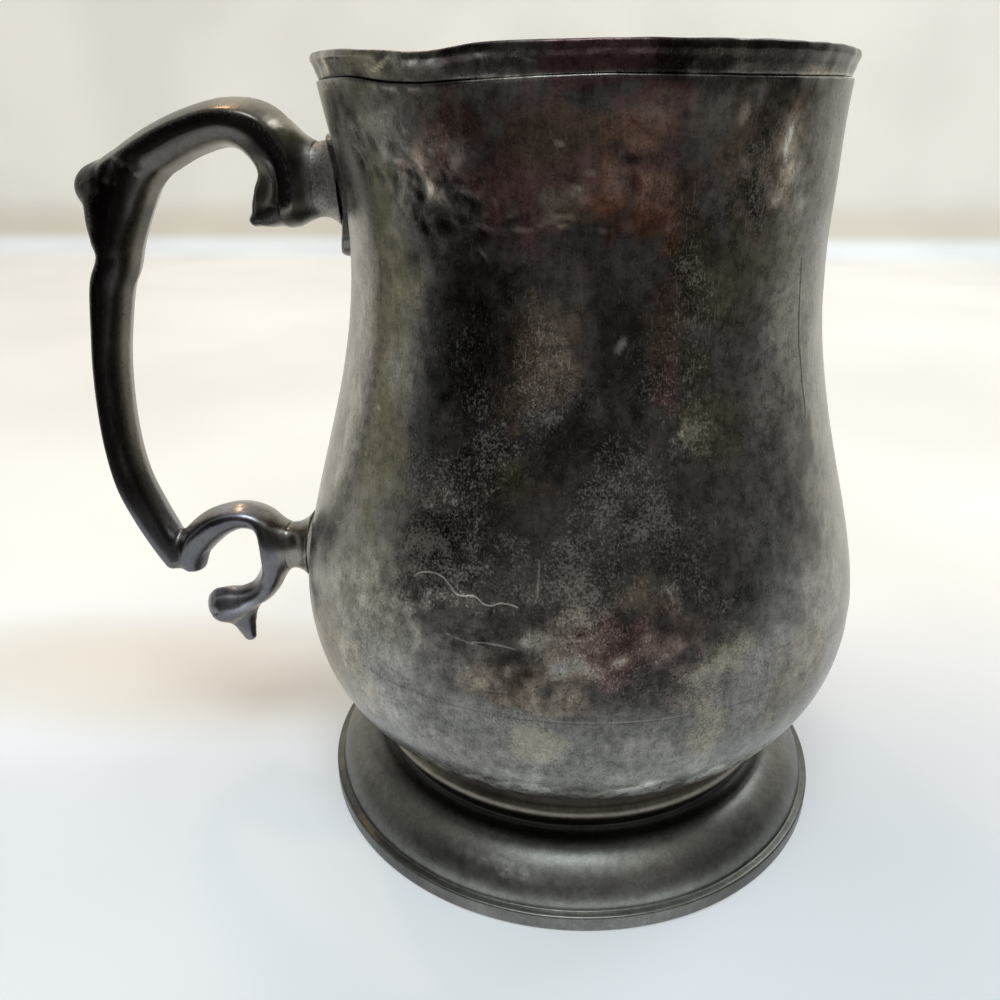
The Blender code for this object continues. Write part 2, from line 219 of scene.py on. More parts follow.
def way_out(azimuth, height, place):
    """How far out each point lies in an oval on the wall: 0 in its middle, 1 on its edge.

    The oval is told by azimuth, height, half width, half height and, where it leans, its tilt.
    """
    middle, level, wide, tall, tilt = (*place, 0)[:5]
    across = np.radians(turn_between(azimuth, middle)) * body_radius(level)
    up = height - level
    turn = math.radians(tilt)
    along = (across * math.cos(turn) + up * math.sin(turn)) / wide
    square = (up * math.cos(turn) - across * math.sin(turn)) / tall
    return np.hypot(along, square)


def oval(azimuth, height, place, warp):
    """A soft oval on the wall, 1 inside and 0 outside, with its edge made ragged."""
    return 1 - smoothstep(way_out(azimuth, height, place) + warp, 0.55, 1.3)


def torn_folds(azimuth, height):
    """Where knocks tore the skin beside the handle, and the slanting folds they left there."""
    across = mean_radius * np.radians(azimuth)
    turn = math.radians(-38)
    along = across * math.cos(turn) + height * math.sin(turn)
    square = height * math.cos(turn) - across * math.sin(turn)
    folds = soft_noise(np.degrees(along / mean_radius) / 2.2, square, 7, 1.5, waves=40)
    zone = oval(azimuth, height, (-32, 111.2, 9.0, 4.4, -22), 0.5 * folds)
    return zone, folds


# The rim and the band's seam sag and rise, as (azimuth, height)
rim_wave = [
    (-180, 126.75), (-140, 126.55), (-110, 126.8), (-61, 126.98), (-50.5, 126.85), (-37.8, 126.4),
    (-28.7, 125.97), (-24.7, 126.05), (-19.2, 126.6), (-14.1, 126.86), (-7.7, 126.86), (0.4, 126.9),
    (9.5, 126.98), (19, 126.99), (29.8, 126.97), (43.6, 126.9), (58.4, 126.85), (75, 126.6),
    (110, 126.85), (150, 126.6), (180, 126.75),
]
seam_wave = [
    (-180, 123.2), (-110, 123.3), (-74.5, 123.36), (-51.2, 123.6), (-45.1, 123.4), (-39.2, 122.8),
    (-29.5, 122.5), (-21.5, 122.72), (-14.3, 122.95), (-7.7, 123.14), (0.7, 123.3), (6.9, 123.38),
    (13.4, 123.27), (23.7, 123.2), (35.8, 123.1), (46.5, 123.11), (66, 123.24), (120, 123.1),
    (180, 123.2),
]


def along_wave(wave, azimuth):
    """Reads a wave at these azimuths, with its corners rounded off."""
    places = np.array(wave)
    total = 0
    for shift in (-3, -1.5, 0, 1.5, 3):
        total = total + np.interp(turn_between(azimuth + shift, 0), places[:, 0], places[:, 1])
    return total / 5


# Dents and dings: azimuth, height, half width and half height in mm, tilt in degrees where there
# is one, and depth in mm
dents = [
    (-31, 120.5, 9.0, 5.0, 0.35), (-36, 109.5, 2.6, 0.9, 62, 0.16), (-33, 108.6, 2.8, 0.8, 48, 0.18),
    (-30, 108.3, 2.6, 0.8, 35, 0.16), (-27.5, 108.6, 2.4, 0.7, 25, 0.14),
    (-39, 110.5, 2.2, 0.8, 75, 0.14), (-34, 113.0, 4.5, 1.1, 20, 0.12),
    (-28, 112.3, 3.6, 1.0, 30, 0.12), (-24, 113.5, 2.0, 1.4, 60, 0.14),
    (-4, 116.0, 1.6, 0.45, 20, 0.14), (-6, 110.3, 1.7, 0.45, 12, 0.14), (-8, 109.0, 0.9, 0.5, 0.10),
    (-2, 111.4, 1.8, 0.5, 10, 0.12), (-14, 107.4, 1.8, 0.5, 25, 0.12), (7, 113.2, 1.0, 0.6, 0.20),
    (9, 110.6, 0.9, 0.9, 0.16), (15, 117.5, 2.4, 1.0, -20, 0.12), (19, 114.5, 2.2, 1.2, 30, 0.14),
    (22, 111.5, 1.8, 0.8, 0.12), (28, 118.5, 1.0, 2.2, 20, 0.14), (34, 112.8, 2.6, 2.0, 0.16),
    (40, 114.5, 1.8, 2.6, 10, 0.20), (38, 109.0, 2.4, 1.6, -25, 0.14), (44, 111.0, 1.6, 2.6, 0.12),
    (8, 92.0, 0.75, 1.5, -22, 0.16), (30, 84.0, 1.0, 1.0, 0.05), (-47, 60.0, 3.0, 2.0, 0.05),
    (70, 88.0, 5.0, 7.0, 10, 0.18), (112, 70.0, 7.0, 5.0, 0.25), (150, 108.0, 5.0, 3.0, 20, 0.22),
    (-150, 96.0, 4.0, 6.0, 0.20), (172, 52.0, 6.0, 4.0, 0.20),
]


def wall_relief(azimuth, height):
    """How far the worn wall stands out from its turned shape, in mm."""
    relief = 0.07 * soft_noise(azimuth, height, 3, 17.0) + 0.022 * soft_noise(azimuth, height, 4, 5.5)
    # A crease runs round the front where the upper wall was pushed in from above
    crease = crease_depth * smoothstep(azimuth, -24, -16) * (1 - smoothstep(azimuth, 9, 16))
    line = crease_height + 0.25 * np.sin(azimuth * 0.55)
    relief = relief + crease * smoothstep(height, line - 0.7, line + 0.4)
    relief = relief - crease * smoothstep(height, line + 3, line + 12)
    zone, folds = torn_folds(azimuth, height)
    relief = relief + fold_relief * zone * folds
    # The wall is a little flatter beside the handle
    beside = hump(turn_between(azimuth, -60), 0, 18) * hump(height, 88, 20)
    relief = relief - flattening * beside
    # The band is lumpier
    in_band = smoothstep(height, lip_seam - 0.5, lip_seam + 0.5)
    relief = relief + in_band * band_lumps * soft_noise(azimuth, height, 5, 2.3, waves=40)
    for *place, depth in dents:
        square = way_out(azimuth, height, place) ** 2
        relief = relief - depth * (1 - 0.35 * square) * np.exp(-square)
    return relief


def place_on_mug(azimuth, radius, height, relief_share):
    """Points of a turned surface once the mouth leans, its rim waves and its wall is worn."""
    radius = radius + relief_share * wall_relief(azimuth, height)
    radius = np.minimum(radius, belly_radius - inside_belly)
    seam_shift = along_wave(seam_wave, azimuth) - lip_seam
    rim_shift = along_wave(rim_wave, azimuth) - mug_height
    in_band = np.clip((height - lip_seam) / lip_height, 0, 1)
    shift = seam_shift * (1 - in_band) + rim_shift * in_band
    shift = shift * smoothstep(height, wave_start, lip_seam)
    lumps = 1.4 + soft_noise(azimuth, 0 * height, 6, 3.6, waves=40)
    shift = shift - edge_lumps * in_band * lumps
    lean = smoothstep(height, lean_start, mug_height)
    radius = radius + mouth_spread * lean
    turn = np.radians(azimuth)
    x = axis_x - mouth_lean * lean + radius * np.sin(turn)
    y = -radius * np.cos(turn)
    return np.stack(np.broadcast_arrays(x, y, height + shift), axis=-1).reshape(-1, 3)


# Mesh making


def column_turns():
    """Azimuths of a turned mesh's columns: close together at the front, wider at the back."""
    turns = [-180.0]
    while turns[-1] < 180:
        step = front_step + (back_step - front_step) * float(smoothstep(abs(turns[-1]), 70, 100))
        turns.append(turns[-1] + step)
    turns = np.array(turns)
    return -180 + (turns[:-1] + 180) * 360 / (turns[-1] + 180)


columns = column_turns()


def placed(name, data):
    """A new object in the scene."""
    made = bpy.data.objects.new(name, data)
    bpy.context.scene.collection.objects.link(made)
    return made


def mesh_object(name, points, faces):
    """A smooth mesh from points in metres."""
    mesh = bpy.data.meshes.new(name)
    mesh.from_pydata(points.tolist(), [], faces)
    mesh.shade_smooth()
    return placed(name, mesh)


def quad_mesh(name, points, quads):
    """A smooth closed mesh of quads from points in mm, turned outward, and whether that flipped it."""
    a, b, c, d = (points[quads[:, i]] for i in range(4))
    flipped = np.einsum("ij,ij->", a, np.cross(b, c) + np.cross(c, d)) < 0
    if flipped:
        quads = quads[:, ::-1]
    return mesh_object(name, points * millimetre, quads.tolist()), flipped


def filleted(places):
    """A closed or open line of (radius, height, fillet) with its corners rounded."""
    line = []
    count = len(places)
    for i, (radius, height, fillet) in enumerate(places):
        here = Vector((radius, height))
        if not fillet:
            line.append(here)
            continue
        before = Vector(places[i - 1][:2])
        after = Vector(places[(i + 1) % count][:2])
        start = here + (before - here).normalized() * fillet
        stop = here + (after - here).normalized() * fillet
        for share in np.linspace(0, 1, 6):
            line.append(start.lerp(here, share).lerp(here.lerp(stop, share), share))
    return line


def spaced(line, gap_at, closed=True):
    """Adds places so that no two are farther apart than the gap allowed there."""
    dense = []
    slack = 0.01
    ends = line[1:] + ([line[0]] if closed else [])
    for start, stop in zip(line, ends):
        middle = (start + stop) / 2
        count = max(1, math.ceil((stop - start).length / gap_at(middle) - slack))
        dense += [start.lerp(stop, k / count) for k in range(count)]
    if not closed:
        dense.append(line[-1])
    return np.array([tuple(place) for place in dense])


def turned(name, line, relief_at, closed=True):
    """Turns a dense line about the mug's axis, worn by relief_at(radius, height) of the relief."""
    radius = line[:, 0][:, None]
    height = line[:, 1][:, None]
    points = place_on_mug(columns[None, :], radius, height, relief_at(radius, height))
    rings, steps = len(line), len(columns)
    last = rings if closed else rings - 1
    row, column = np.divmod(np.arange(last * steps), steps)
    below = (row + 1) % rings
    beside = (column + 1) % steps
    corners = ((row, column), (below, column), (below, beside), (row, beside))
    quads = np.stack([ring * steps + turn for ring, turn in corners], -1)
    piece, flipped = quad_mesh(name, points, quads)
    run = np.concatenate([[0], np.cumsum(np.hypot(*np.diff(line, axis=0).T))])
    if closed:
        run = np.append(run, run[-1] + math.dist(line[-1], line[0]))
    run = run / run[-1]
    around = np.append(columns, 180.0) / 360 + 0.5
    u = np.stack([around[column], around[column], around[column + 1], around[column + 1]], -1)
    v = np.stack([run[row], run[row + 1], run[row + 1], run[row]], -1)
    places = np.stack([u, v], -1)
    if flipped:
        places = places[:, ::-1]
    layer = piece.data.uv_layers.new(name="OFBake")
    layer.uv.foreach_set("vector", places.astype(np.float32).ravel())
    return piece


def fit_normals(piece):
    """Turns every face outward."""
    shape = bmesh.new()
    shape.from_mesh(piece.data)
    bmesh.ops.remove_doubles(shape, verts=shape.verts, dist=0.002 * millimetre)
    bmesh.ops.recalc_face_normals(shape, faces=shape.faces)
    shape.to_mesh(piece.data)
    shape.free()
    piece.data.shade_smooth()


def wall_gap(place):
    """Rings are close together on the outer wall, and wider apart inside."""
    depth = float(body_radius(min(place[1], lip_seam))) - place[0]
    return ring_gap if depth < skin else inner_gap


def outer_relief(radius, height):
    """The wear shows on the outer wall in full, and on its lining by a part of that."""
    depth = body_radius(np.clip(height, bowl_base, mug_height)) - radius
    return np.where(depth < skin, 1.0, lining_relief)


def lip_band():
    foot = lip_seam + solder_line
    outer_foot = lip_seam_radius - band_inset
    outer_top = lip_seam_radius + band_stand
    inner = lip_seam_radius - wall
    rebate = lip_seam_radius - wall / 2
    places = [
        (inner + bevel_wide, mug_height, 0.3),
        (outer_top - band_lean, mug_height, 0.42),
        (outer_top, mug_height - band_edge, 0.3),
        (outer_top - band_hollow, lip_seam + lip_height * 0.5, 0),
        (outer_foot, foot, 0.22),
        (rebate, foot, 0.1),
        (rebate, foot + lip_lap, 0.1),
        (inner, foot + lip_lap, 0.1),
        (inner, mug_height - bevel_tall, 0.5),
    ]
    line = spaced(filleted(places), lambda place: 0.34 if place[0] > rebate + 0.2 else 1.2)
    return turned("pewter_lip_band", line, lambda radius, height: 0.9)


def upper_body():
    lap = wall / 2
    foot = belly_height + belly_line / 2
    lap_end = belly_height - lap_tall
    top = lip_seam + lip_lap
    lip_spigot = lip_seam_radius - lap - lip_slack
    places = [
        (lip_spigot, top, 0.1),
        (lip_spigot, lip_seam, 0.1),
        (lip_seam_radius, lip_seam, 0.35),
    ]
    heights = np.linspace(lip_seam - 0.6, foot + 0.3, 50)
    places += [(*in_wall(height, 0), 0) for height in heights]
    places.append((*in_wall(foot, 0), 0.03))
    places += [(*in_wall(foot, lap), 0), (*in_wall(lap_end, lap), 0)]
    places += [(*in_wall(height, wall), 0) for height in np.linspace(lap_end, lip_seam, 30)]
    places.append((lip_seam_radius - wall, top, 0))
    line = spaced(filleted(places), wall_gap)
    return turned("pewter_upper_body", line, outer_relief)


def lower_body():
    lap = wall / 2 - lap_slack
    shoulder = belly_height - belly_line / 2
    ledge = belly_height - lap_tall - ledge_slack
    floor = bowl_base + floor_thick
    outer = [(*in_wall(shoulder, 0), 0.03)]
    quarter = np.linspace(0, math.pi / 2, 56)[1:]
    heights = bowl_base + (shoulder - bowl_base) * (1 - np.sin(quarter))
    outer += [(*in_wall(height, 0), 0) for height in heights]
    heights = bowl_base + (ledge - bowl_base) * (1 - np.sin(quarter))
    lining = [in_wall(height, wall) for height in heights]
    lining = [(*place, 0) for place in lining if place[1] > floor + 0.3]
    places = outer + [
        (base_hole, bowl_base, 0.2),
        (base_hole, floor - seat_depth, 0),
        (floor_seat, floor - seat_depth, 0),
        (floor_seat, floor, 0.2),
        (lining[-1][0] - 1.5, floor, 0.6),
    ]
    places += lining[::-1]
    places += [(*in_wall(ledge, lap), 0), (*in_wall(shoulder, lap), 0)]
    line = spaced(filleted(places), wall_gap)
    return turned("pewter_lower_body", line, outer_relief)


def bottom_disc():
    floor = bowl_base + floor_thick
    places = [
        (0.0, floor, 0),
        (12.0, floor + 0.05, 0),
        (24.0, floor - 0.02, 0),
        (floor_seat - disc_gap, floor, 0.2),
        (floor_seat - disc_gap, floor - disc_thick, 0),
        (base_hole - disc_gap, floor - disc_thick, 0),
        (base_hole - disc_gap, bowl_base, 0.2),
        (0.0, bowl_base, 0),
    ]
    line = spaced(filleted(places), lambda place: 2.0, closed=False)
    piece = turned("pewter_bottom_disc", line, lambda radius, height: 0.0, closed=False)
    fit_normals(piece)
    return piece


def ellipse(centre, half_wide, half_tall, first, last, count, fullness=0.5):
    """Places on an ellipse between two angles in degrees; a fullness over 0.5 makes it slacker."""
    places = []
    for turn in np.radians(np.linspace(first, last, count)):
        across, up = math.cos(turn), math.sin(turn)
        out = math.copysign(abs(across) ** (2 * fullness), across)
        rise = math.copysign(abs(up) ** (2 * fullness), up)
        places.append((centre[0] + half_wide * out, centre[1] + half_tall * rise, 0))
    return places


def foot_ring():
    collar = base_radius - collar_inset
    step = foot_radius - plinth_step
    ovolo_top = plinth_tall + ovolo_tall
    scotia_middle = ovolo_top + scotia_rise
    ovolo_inner = collar + scotia_width
    bore = collar - collar_wall
    rest_inner = foot_radius - foot_rest
    bead = (collar + bead_stand, foot_height - bead_drop)
    scotia = (ovolo_inner, scotia_middle)
    ovolo = (ovolo_inner, plinth_tall + ovolo_lift)
    places = [(collar - 0.3, foot_height, 0.1), (collar, foot_height, 0.2)]
    places += ellipse(bead, bead_radius, bead_radius, 65, -65, 14)
    places += ellipse(scotia, scotia_width, scotia_rise, 165, 268, 10)
    places += ellipse(ovolo, step - ovolo_inner, ovolo_tall - ovolo_lift, 80, 2, 26, 0.66)
    places += [
        (step + 0.05, plinth_tall, 0.15),
        (foot_radius, plinth_tall - 0.15, 0.4),
        (foot_radius, 0.0, 0.5),
        (rest_inner, 0.0, 0.3),
    ]
    places += ellipse((bore, recess_rise), rest_inner - bore, ovolo_tall, 0, 75, 10)
    places += [(bore, scotia_middle, 0.4), (bore, foot_height, 0.2)]
    line = spaced(filleted(places), lambda place: 0.4 if place[0] > collar - 0.5 else 1.5)
    return turned("pewter_foot_ring", line, lambda radius, height: 0.5 * (height > 0.3))


# Handle: limbs drawn in the mug's plane, joined with soft fillets on a grid


def smooth_stations(places, spans):
    """Reads more stations from a smooth curve through the given ones."""
    places = [np.array(place, float) for place in places]
    ends = [2 * places[0] - places[1]] + places + [2 * places[-1] - places[-2]]
    stations = []
    for before, start, stop, after in zip(ends, ends[1:], ends[2:], ends[3:]):
        bend = 2 * before - 5 * start + 4 * stop - after
        twist = 3 * start - before - 3 * stop + after
        for t in np.arange(spans) / spans:
            stations.append(start + ((stop - before) * t + bend * t**2 + twist * t**3) / 2)
    return np.array(stations + [places[-1]])


# Corners of a limb's section: share of half its thickness, outward, and of half its width. The
# first is crowned outside, has a short flank, and is bevelled towards its inner side.
crowned = [(1.0, 0.0), (0.9, 0.42), (0.52, 0.96), (-0.05, 1.0), (-0.78, 0.62), (-1.0, 0.0)]
rounded = [
    (1.0, 0.0), (0.92, 0.45), (0.5, 0.88), (0.0, 1.0), (-0.5, 0.88), (-0.92, 0.45), (-1.0, 0.0),
]
blocky = [(1.0, 0.0), (0.93, 0.6), (0.62, 0.96), (-0.4, 1.0), (-0.95, 0.7), (-1.0, 0.0)]


def near_path(reach, height, places):
    """For each place in the plane, what the nearest place of a limb's path is like."""
    stations = smooth_stations(places, 6)
    best = np.full(reach.shape, np.inf)
    found = [np.zeros(reach.shape) for _ in range(4)]
    last = len(stations) - 2
    for i, (start, stop) in enumerate(zip(stations, stations[1:])):
        run = stop[:2] - start[:2]
        length = float(np.hypot(*run))
        run = run / length
        out, up = reach - start[0], height - start[1]
        along = out * run[0] + up * run[1]
        square = -out * run[1] + up * run[0]
        share = np.clip(along / length, 0, 1)
        past = along - share * length
        distance = np.hypot(past, square)
        nearer = distance < best - 1e-9
        best = np.where(nearer, distance, best)
        end = past if i in (0, last) else 0 * past
        size = start[2:4] + share[..., None] * (stop[2:4] - start[2:4])
        for slot, value in enumerate((square, end, size[..., 0], size[..., 1])):
            found[slot] = np.where(nearer, value, found[slot])
    return found


def limb_field(grid, places, outward, section, softness):
    """How far each grid place lies outside one limb, in mm."""
    reach, side, height = grid
    square, past, tall, wide = near_path(reach[:, 0, :], height[:, 0, :], places)
    out = outward * square
    out = np.where(out < 0, -1, 1) * np.hypot(out, past)
    tall, wide, out = (value[:, None, :].astype(np.float32) / 2 for value in (tall, wide, 2 * out))
    total = 0
    for (u0, v0), (u1, v1) in zip(section, section[1:]):
        normal_out = (v1 - v0) * wide
        normal_side = (u0 - u1) * tall
        length = np.hypot(normal_out, normal_side)
        gap = ((out - u0 * tall) * normal_out + (side - v0 * wide) * normal_side) / length
        total = total + np.exp(np.clip(gap / softness, -40, 40))
    return softness * np.log(total)


def join(first, second, fillet):
    """The union of two fields, with a fillet about this big."""
    near = np.clip(1 - np.abs(first - second) / fillet, 0, None)
    return np.minimum(first, second) - near * near * fillet / 4


def surface(name, field, start, step):
    """A skin where a field on a grid is zero: one point in each cell that it crosses."""
    inside = field < 0
    cells = tuple(size - 1 for size in field.shape)
    corners = [(i, j, k) for i in (0, 1) for j in (0, 1) for k in (0, 1)]
    held = sum(
        inside[i : i + cells[0], j : j + cells[1], k : k + cells[2]].astype(np.int8)
        for i, j, k in corners
    )
    crossed = np.argwhere((held > 0) & (held < 8))
    number = np.full(cells, -1, np.int64)
    number[tuple(crossed.T)] = np.arange(len(crossed))
    place = np.zeros((len(crossed), 3))
    count = np.zeros(len(crossed))
    for axis in range(3):
        for corner in corners:
            if corner[axis]:
                continue
            first = crossed + corner
            second = first.copy()
            second[:, axis] += 1
            low, high = field[tuple(first.T)], field[tuple(second.T)]
            cuts = (low < 0) != (high < 0)
            share = np.where(cuts, low / np.where(cuts, low - high, 1), 0)
            spot = first.astype(float)
            spot[:, axis] += share
            place += spot * cuts[:, None]
            count += cuts
    points = place / count[:, None] * step + start
    quads = []
    for axis in range(3):
        others = [other for other in range(3) if other != axis]
        low = [slice(None)] * 3
        high = [slice(None)] * 3
        low[axis], high[axis] = slice(0, -1), slice(1, None)
        edges = np.argwhere(inside[tuple(low)] != inside[tuple(high)])
        ring = []
        for a, b in ((0, 0), (1, 0), (1, 1), (0, 1)):
            cell = edges.copy()
            cell[:, others[0]] -= a
            cell[:, others[1]] -= b
            ring.append(number[tuple(cell.T)])
        ring = np.stack(ring, -1)
        leaves = inside[tuple(edges.T)] != (axis == 1)
        quads.append(np.where(leaves[:, None], ring, ring[:, ::-1]))
    points[:, 0] = axis_x - points[:, 0]
    return quad_mesh(name, points, np.concatenate(quads))[0]


def eased(piece, rounds):
    """Evens a grid skin out, and keeps the result as its mesh."""
    soft = piece.modifiers.new("soft", "SMOOTH")
    soft.factor = 0.5
    soft.iterations = rounds
    graph = bpy.context.evaluated_depsgraph_get()
    mesh = bpy.data.meshes.new_from_object(piece.evaluated_get(graph))
    piece.modifiers.clear()
    piece.data = mesh
    return piece


top_reach = float(body_radius(upper_strut_height)) + upper_standoff
low_reach = float(body_radius(lower_strut_height)) + lower_standoff


def by_upper(out, up, tall, wide):
    return top_reach + out, upper_strut_height + up, tall, wide


def by_lower(out, up, tall, wide):
    return low_reach + out, lower_strut_height + up, tall, wide


def between(share, out, tall, wide):
    reach = low_reach + (top_reach - low_reach) * share
    height = lower_strut_height + (upper_strut_height - lower_strut_height) * share
    return reach + out, height, tall, wide


# The scroll's limbs, each a row of places with how thick and how wide it is there
arch = [
    by_upper(4.3, -2.0, 8.0, 10.5), by_upper(4.5, 2.5, 8.8, 11.5), by_upper(7.5, 7.0, 9.0, 12.5),
    by_upper(12.7, 8.5, 7.5, 12.5), by_upper(19.1, 7.0, 7.5, 12.2), by_upper(25.2, 4.2, 8.0, 12.0),
    by_upper(31.5, 0.9, 7.4, 11.0),
]
knob = [
    by_upper(31.5, 0.8, 7.4, 11.6), by_upper(34.4, -0.6, 7.8, 11.2), by_upper(35.9, -1.3, 8.0, 10.4),
]
toe = [
    by_upper(4.4, -1.2, 7.4, 9.8), by_upper(6.2, -3.6, 7.8, 9.4), by_upper(8.0, -5.2, 5.6, 8.8),
    by_upper(9.3, -6.1, 2.8, 8.0),
]
leaf = [
    by_upper(33.8, -3.6, 8.6, 11.7), by_upper(34.3, -7.0, 7.8, 11.7), by_upper(34.6, -9.4, 6.6, 11.5),
]
grip = [
    by_upper(27.9, 1.5, 7.0, 11.6), by_upper(31.1, -3.9, 7.5, 11.6), by_upper(33.4, -9.4, 7.0, 11.5),
    by_upper(34.75, -13.4, 7.0, 11.5), between(0.741, 33.55, 6.95, 11.2),
    between(0.627, 33.85, 6.2, 11.0), between(0.526, 33.8, 5.9, 10.8), between(0.405, 33.1, 5.8, 10.6),
    between(0.291, 31.8, 5.9, 10.4), between(0.189, 29.8, 6.1, 10.2), by_lower(25.6, 6.4, 6.1, 10.0),
    by_lower(23.2, 0.8, 5.9, 9.6), by_lower(21.6, -3.0, 5.0, 9.0),
]
lower_scroll = [
    by_lower(18.3, -4.2, 4.4, 8.2), by_lower(17.4, 0.0, 6.4, 9.0), by_lower(14.0, 3.4, 6.4, 9.0),
    by_lower(10.6, 5.3, 5.9, 8.8), by_lower(7.2, 6.0, 5.4, 8.6), by_lower(3.9, 4.9, 5.0, 8.4),
    by_lower(2.1, 1.5, 4.7, 8.4), by_lower(2.0, -2.8, 5.2, 8.2), by_lower(3.3, -6.7, 5.3, 7.9),
    by_lower(5.6, -10.0, 5.1, 7.6), by_lower(8.9, -12.0, 5.4, 7.4), by_lower(11.7, -13.1, 7.0, 7.6),
    by_lower(13.4, -13.9, 8.0, 7.8),
]
spur = [
    by_lower(10.4, -14.6, 6.4, 6.2), by_lower(10.2, -17.6, 4.9, 4.8), by_lower(9.6, -20.6, 3.2, 3.4),
]
limbs = [
    (arch, 1), (knob, 1), (grip, 1), (leaf, 1), (toe, -1), (lower_scroll, -1), (spur, 1),
]


def limb_share(points):
    """For each point: the nearest limb's number, and how far outward it lies in that limb's section."""
    reach = axis_x - points[:, 0]
    height = points[:, 2]
    side = np.abs(points[:, 1])
    best = np.full(len(points), np.inf)
    out_share = np.zeros(len(points))
    number = np.zeros(len(points), int)
    for i, (places, outward) in enumerate(limbs):
        square, past, tall, wide = near_path(reach, height, places)
        out = outward * square
        out = np.where(out < 0, -1, 1) * np.hypot(out, past)
        outer = np.maximum(np.abs(out) - tall / 2, side - wide / 2)
        nearer = outer < best
        best = np.where(nearer, outer, best)
        out_share = np.where(nearer, 2 * out / tall, out_share)
        number = np.where(nearer, i, number)
    return number, out_share


def neck_field(grid, level, tall, wide, standoff):
    """A neck from the wall to the scroll, which spreads at both ends and runs on under the scroll."""
    reach, side, height = grid
    surface_reach = float(body_radius(level)) + pad_thickness
    back = float(body_radius(level)) + standoff
    roundness, run_on = 2.2, 3.5
    share = (reach - surface_reach) / (back - surface_reach)
    spread = strut_flare * np.clip(1 - share, 0, 1.4) ** 3 + 0.9 * np.clip(share - 0.3, 0, 1.2) ** 2
    half_tall, half_wide = tall / 2 + spread, wide / 2 + spread
    way = np.abs((height - level) / half_tall) ** roundness + np.abs(side / half_wide) ** roundness
    neck = (way ** (1 / roundness) - 1) * half_wide
    return np.maximum(neck, reach - back - run_on)


def scoop_field(grid):
    """The hollow pressed into each side of the toe."""
    reach, side, height = grid
    half_long, half_tall, depth = 5.2, 5.0, 3.6
    out = (reach - top_reach - 8.8) / half_long
    up = (height - upper_strut_height + 0.4) / half_tall
    across = (side - 6.6) / depth
    return (np.sqrt(out**2 + up**2 + across**2) - 1) * depth


def with_limbs(field, grid, rows):
    """A field with more limbs joined on: path, outer side, section, its softness, and fillet."""
    for places, outward, section, softness, fillet in rows:
        field = join(field, limb_field(grid, places, outward, section, softness), fillet)
    return field


def handle_pieces():
    """The scroll and its two necks, each as its own skin, cut apart where the solder is."""
    step = voxel
    start = np.array(grid_low)
    count = (np.array(grid_high) - start) / step
    axes = [(start[i] + step * np.arange(int(count[i]))).astype(np.float32) for i in range(3)]
    grid = np.meshgrid(*axes, indexing="ij")
    reach, side, height = grid
    upper_limbs = (
        (knob, 1, rounded, 0.6, 0.5), (grip, 1, crowned, 0.4, 1.8),
        (leaf, 1, blocky, 0.5, 0.9), (toe, -1, blocky, 0.4, 2.0),
    )
    lower_limbs = ((lower_scroll, -1, crowned, 0.5, 2.2), (spur, 1, rounded, 0.4, 1.6))
    scroll = with_limbs(limb_field(grid, arch, 1, crowned, 0.3), grid, upper_limbs)
    scroll = -join(-scroll, scoop_field(grid), 0.6)
    scroll = with_limbs(scroll, grid, lower_limbs)
    sunk, neck_fillet, cut_back, overlap, solder_gap, outside = 0.3, 2.4, 1.2, 1.5, 0.02, 5.0
    wall_line = (body_radius(axes[2]) + pad_thickness - sunk).astype(np.float32)
    wall_off = np.hypot(reach, side) - wall_line[None, None, :]
    skins = []
    joined = scroll
    necks = [
        ("pewter_upper_strut", upper_strut_height, upper_strut_tall, upper_strut_wide, upper_standoff),
        ("pewter_lower_strut", lower_strut_height, lower_strut_tall, lower_strut_wide, lower_standoff),
    ]
    for name, level, tall, wide, standoff in necks:
        both = join(scroll, neck_field(grid, level, tall, wide, standoff), neck_fillet)
        near = np.abs(height - level) < tall
        cut = float(body_radius(level)) + standoff - cut_back
        under = solder_gap + 0.4 * smoothstep(height, level + tall * 0.42, level + tall * 0.56)
        neck = np.maximum(both + under * smoothstep(reach, cut - 0.4, cut), reach - cut - overlap)
        neck = np.where(near, np.maximum(neck, -wall_off), outside)
        skins.append((name, neck))
        joined = np.where(near, np.minimum(np.maximum(both, cut - reach), joined), joined)
    skins.append(("pewter_scroll_handle", joined))
    start[1] = -step * (len(axes[1]) - 1)
    made = []
    for name, field in skins:
        whole = np.concatenate([field[:, :0:-1], field], axis=1)
        made.append(eased(surface(name, whole, start, step), 3))
    return made


def pad(name, rows, thickness, edge_power):
    """A thin plate that follows the wall, with rows of (height, half width, lift off the wall)."""
    sides = 72
    edge_share, sunk = 0.35, 0.15
    height, half_wide, lift = (column[:, None] for column in np.array(rows).T)
    turn = 2 * math.pi * np.arange(sides)[None, :] / sides
    across = np.sign(np.cos(turn)) * np.abs(np.cos(turn)) ** edge_power * half_wide
    share = np.sign(np.sin(turn)) * np.abs(np.sin(turn)) ** edge_power
    thin = np.sqrt(np.clip(half_wide / 2.2, 0.03, 1))
    off = (thickness + lift) * (edge_share + (1 - edge_share) * share) * thin - sunk
    radius = body_radius(height) + off
    azimuth = -90 + np.degrees(np.arcsin(across / radius))
    points = place_on_mug(azimuth, radius, height, 0.0)
    faces = [tuple(range(sides)), tuple(range(len(points) - sides, len(points)))]
    for i in range(len(rows) - 1):
        for j in range(sides):
            k = (j + 1) % sides
            faces.append((i * sides + j, i * sides + k, (i + 1) * sides + k, (i + 1) * sides + j))
    piece = mesh_object(name, points * millimetre, faces)
    fit_normals(piece)
    return piece


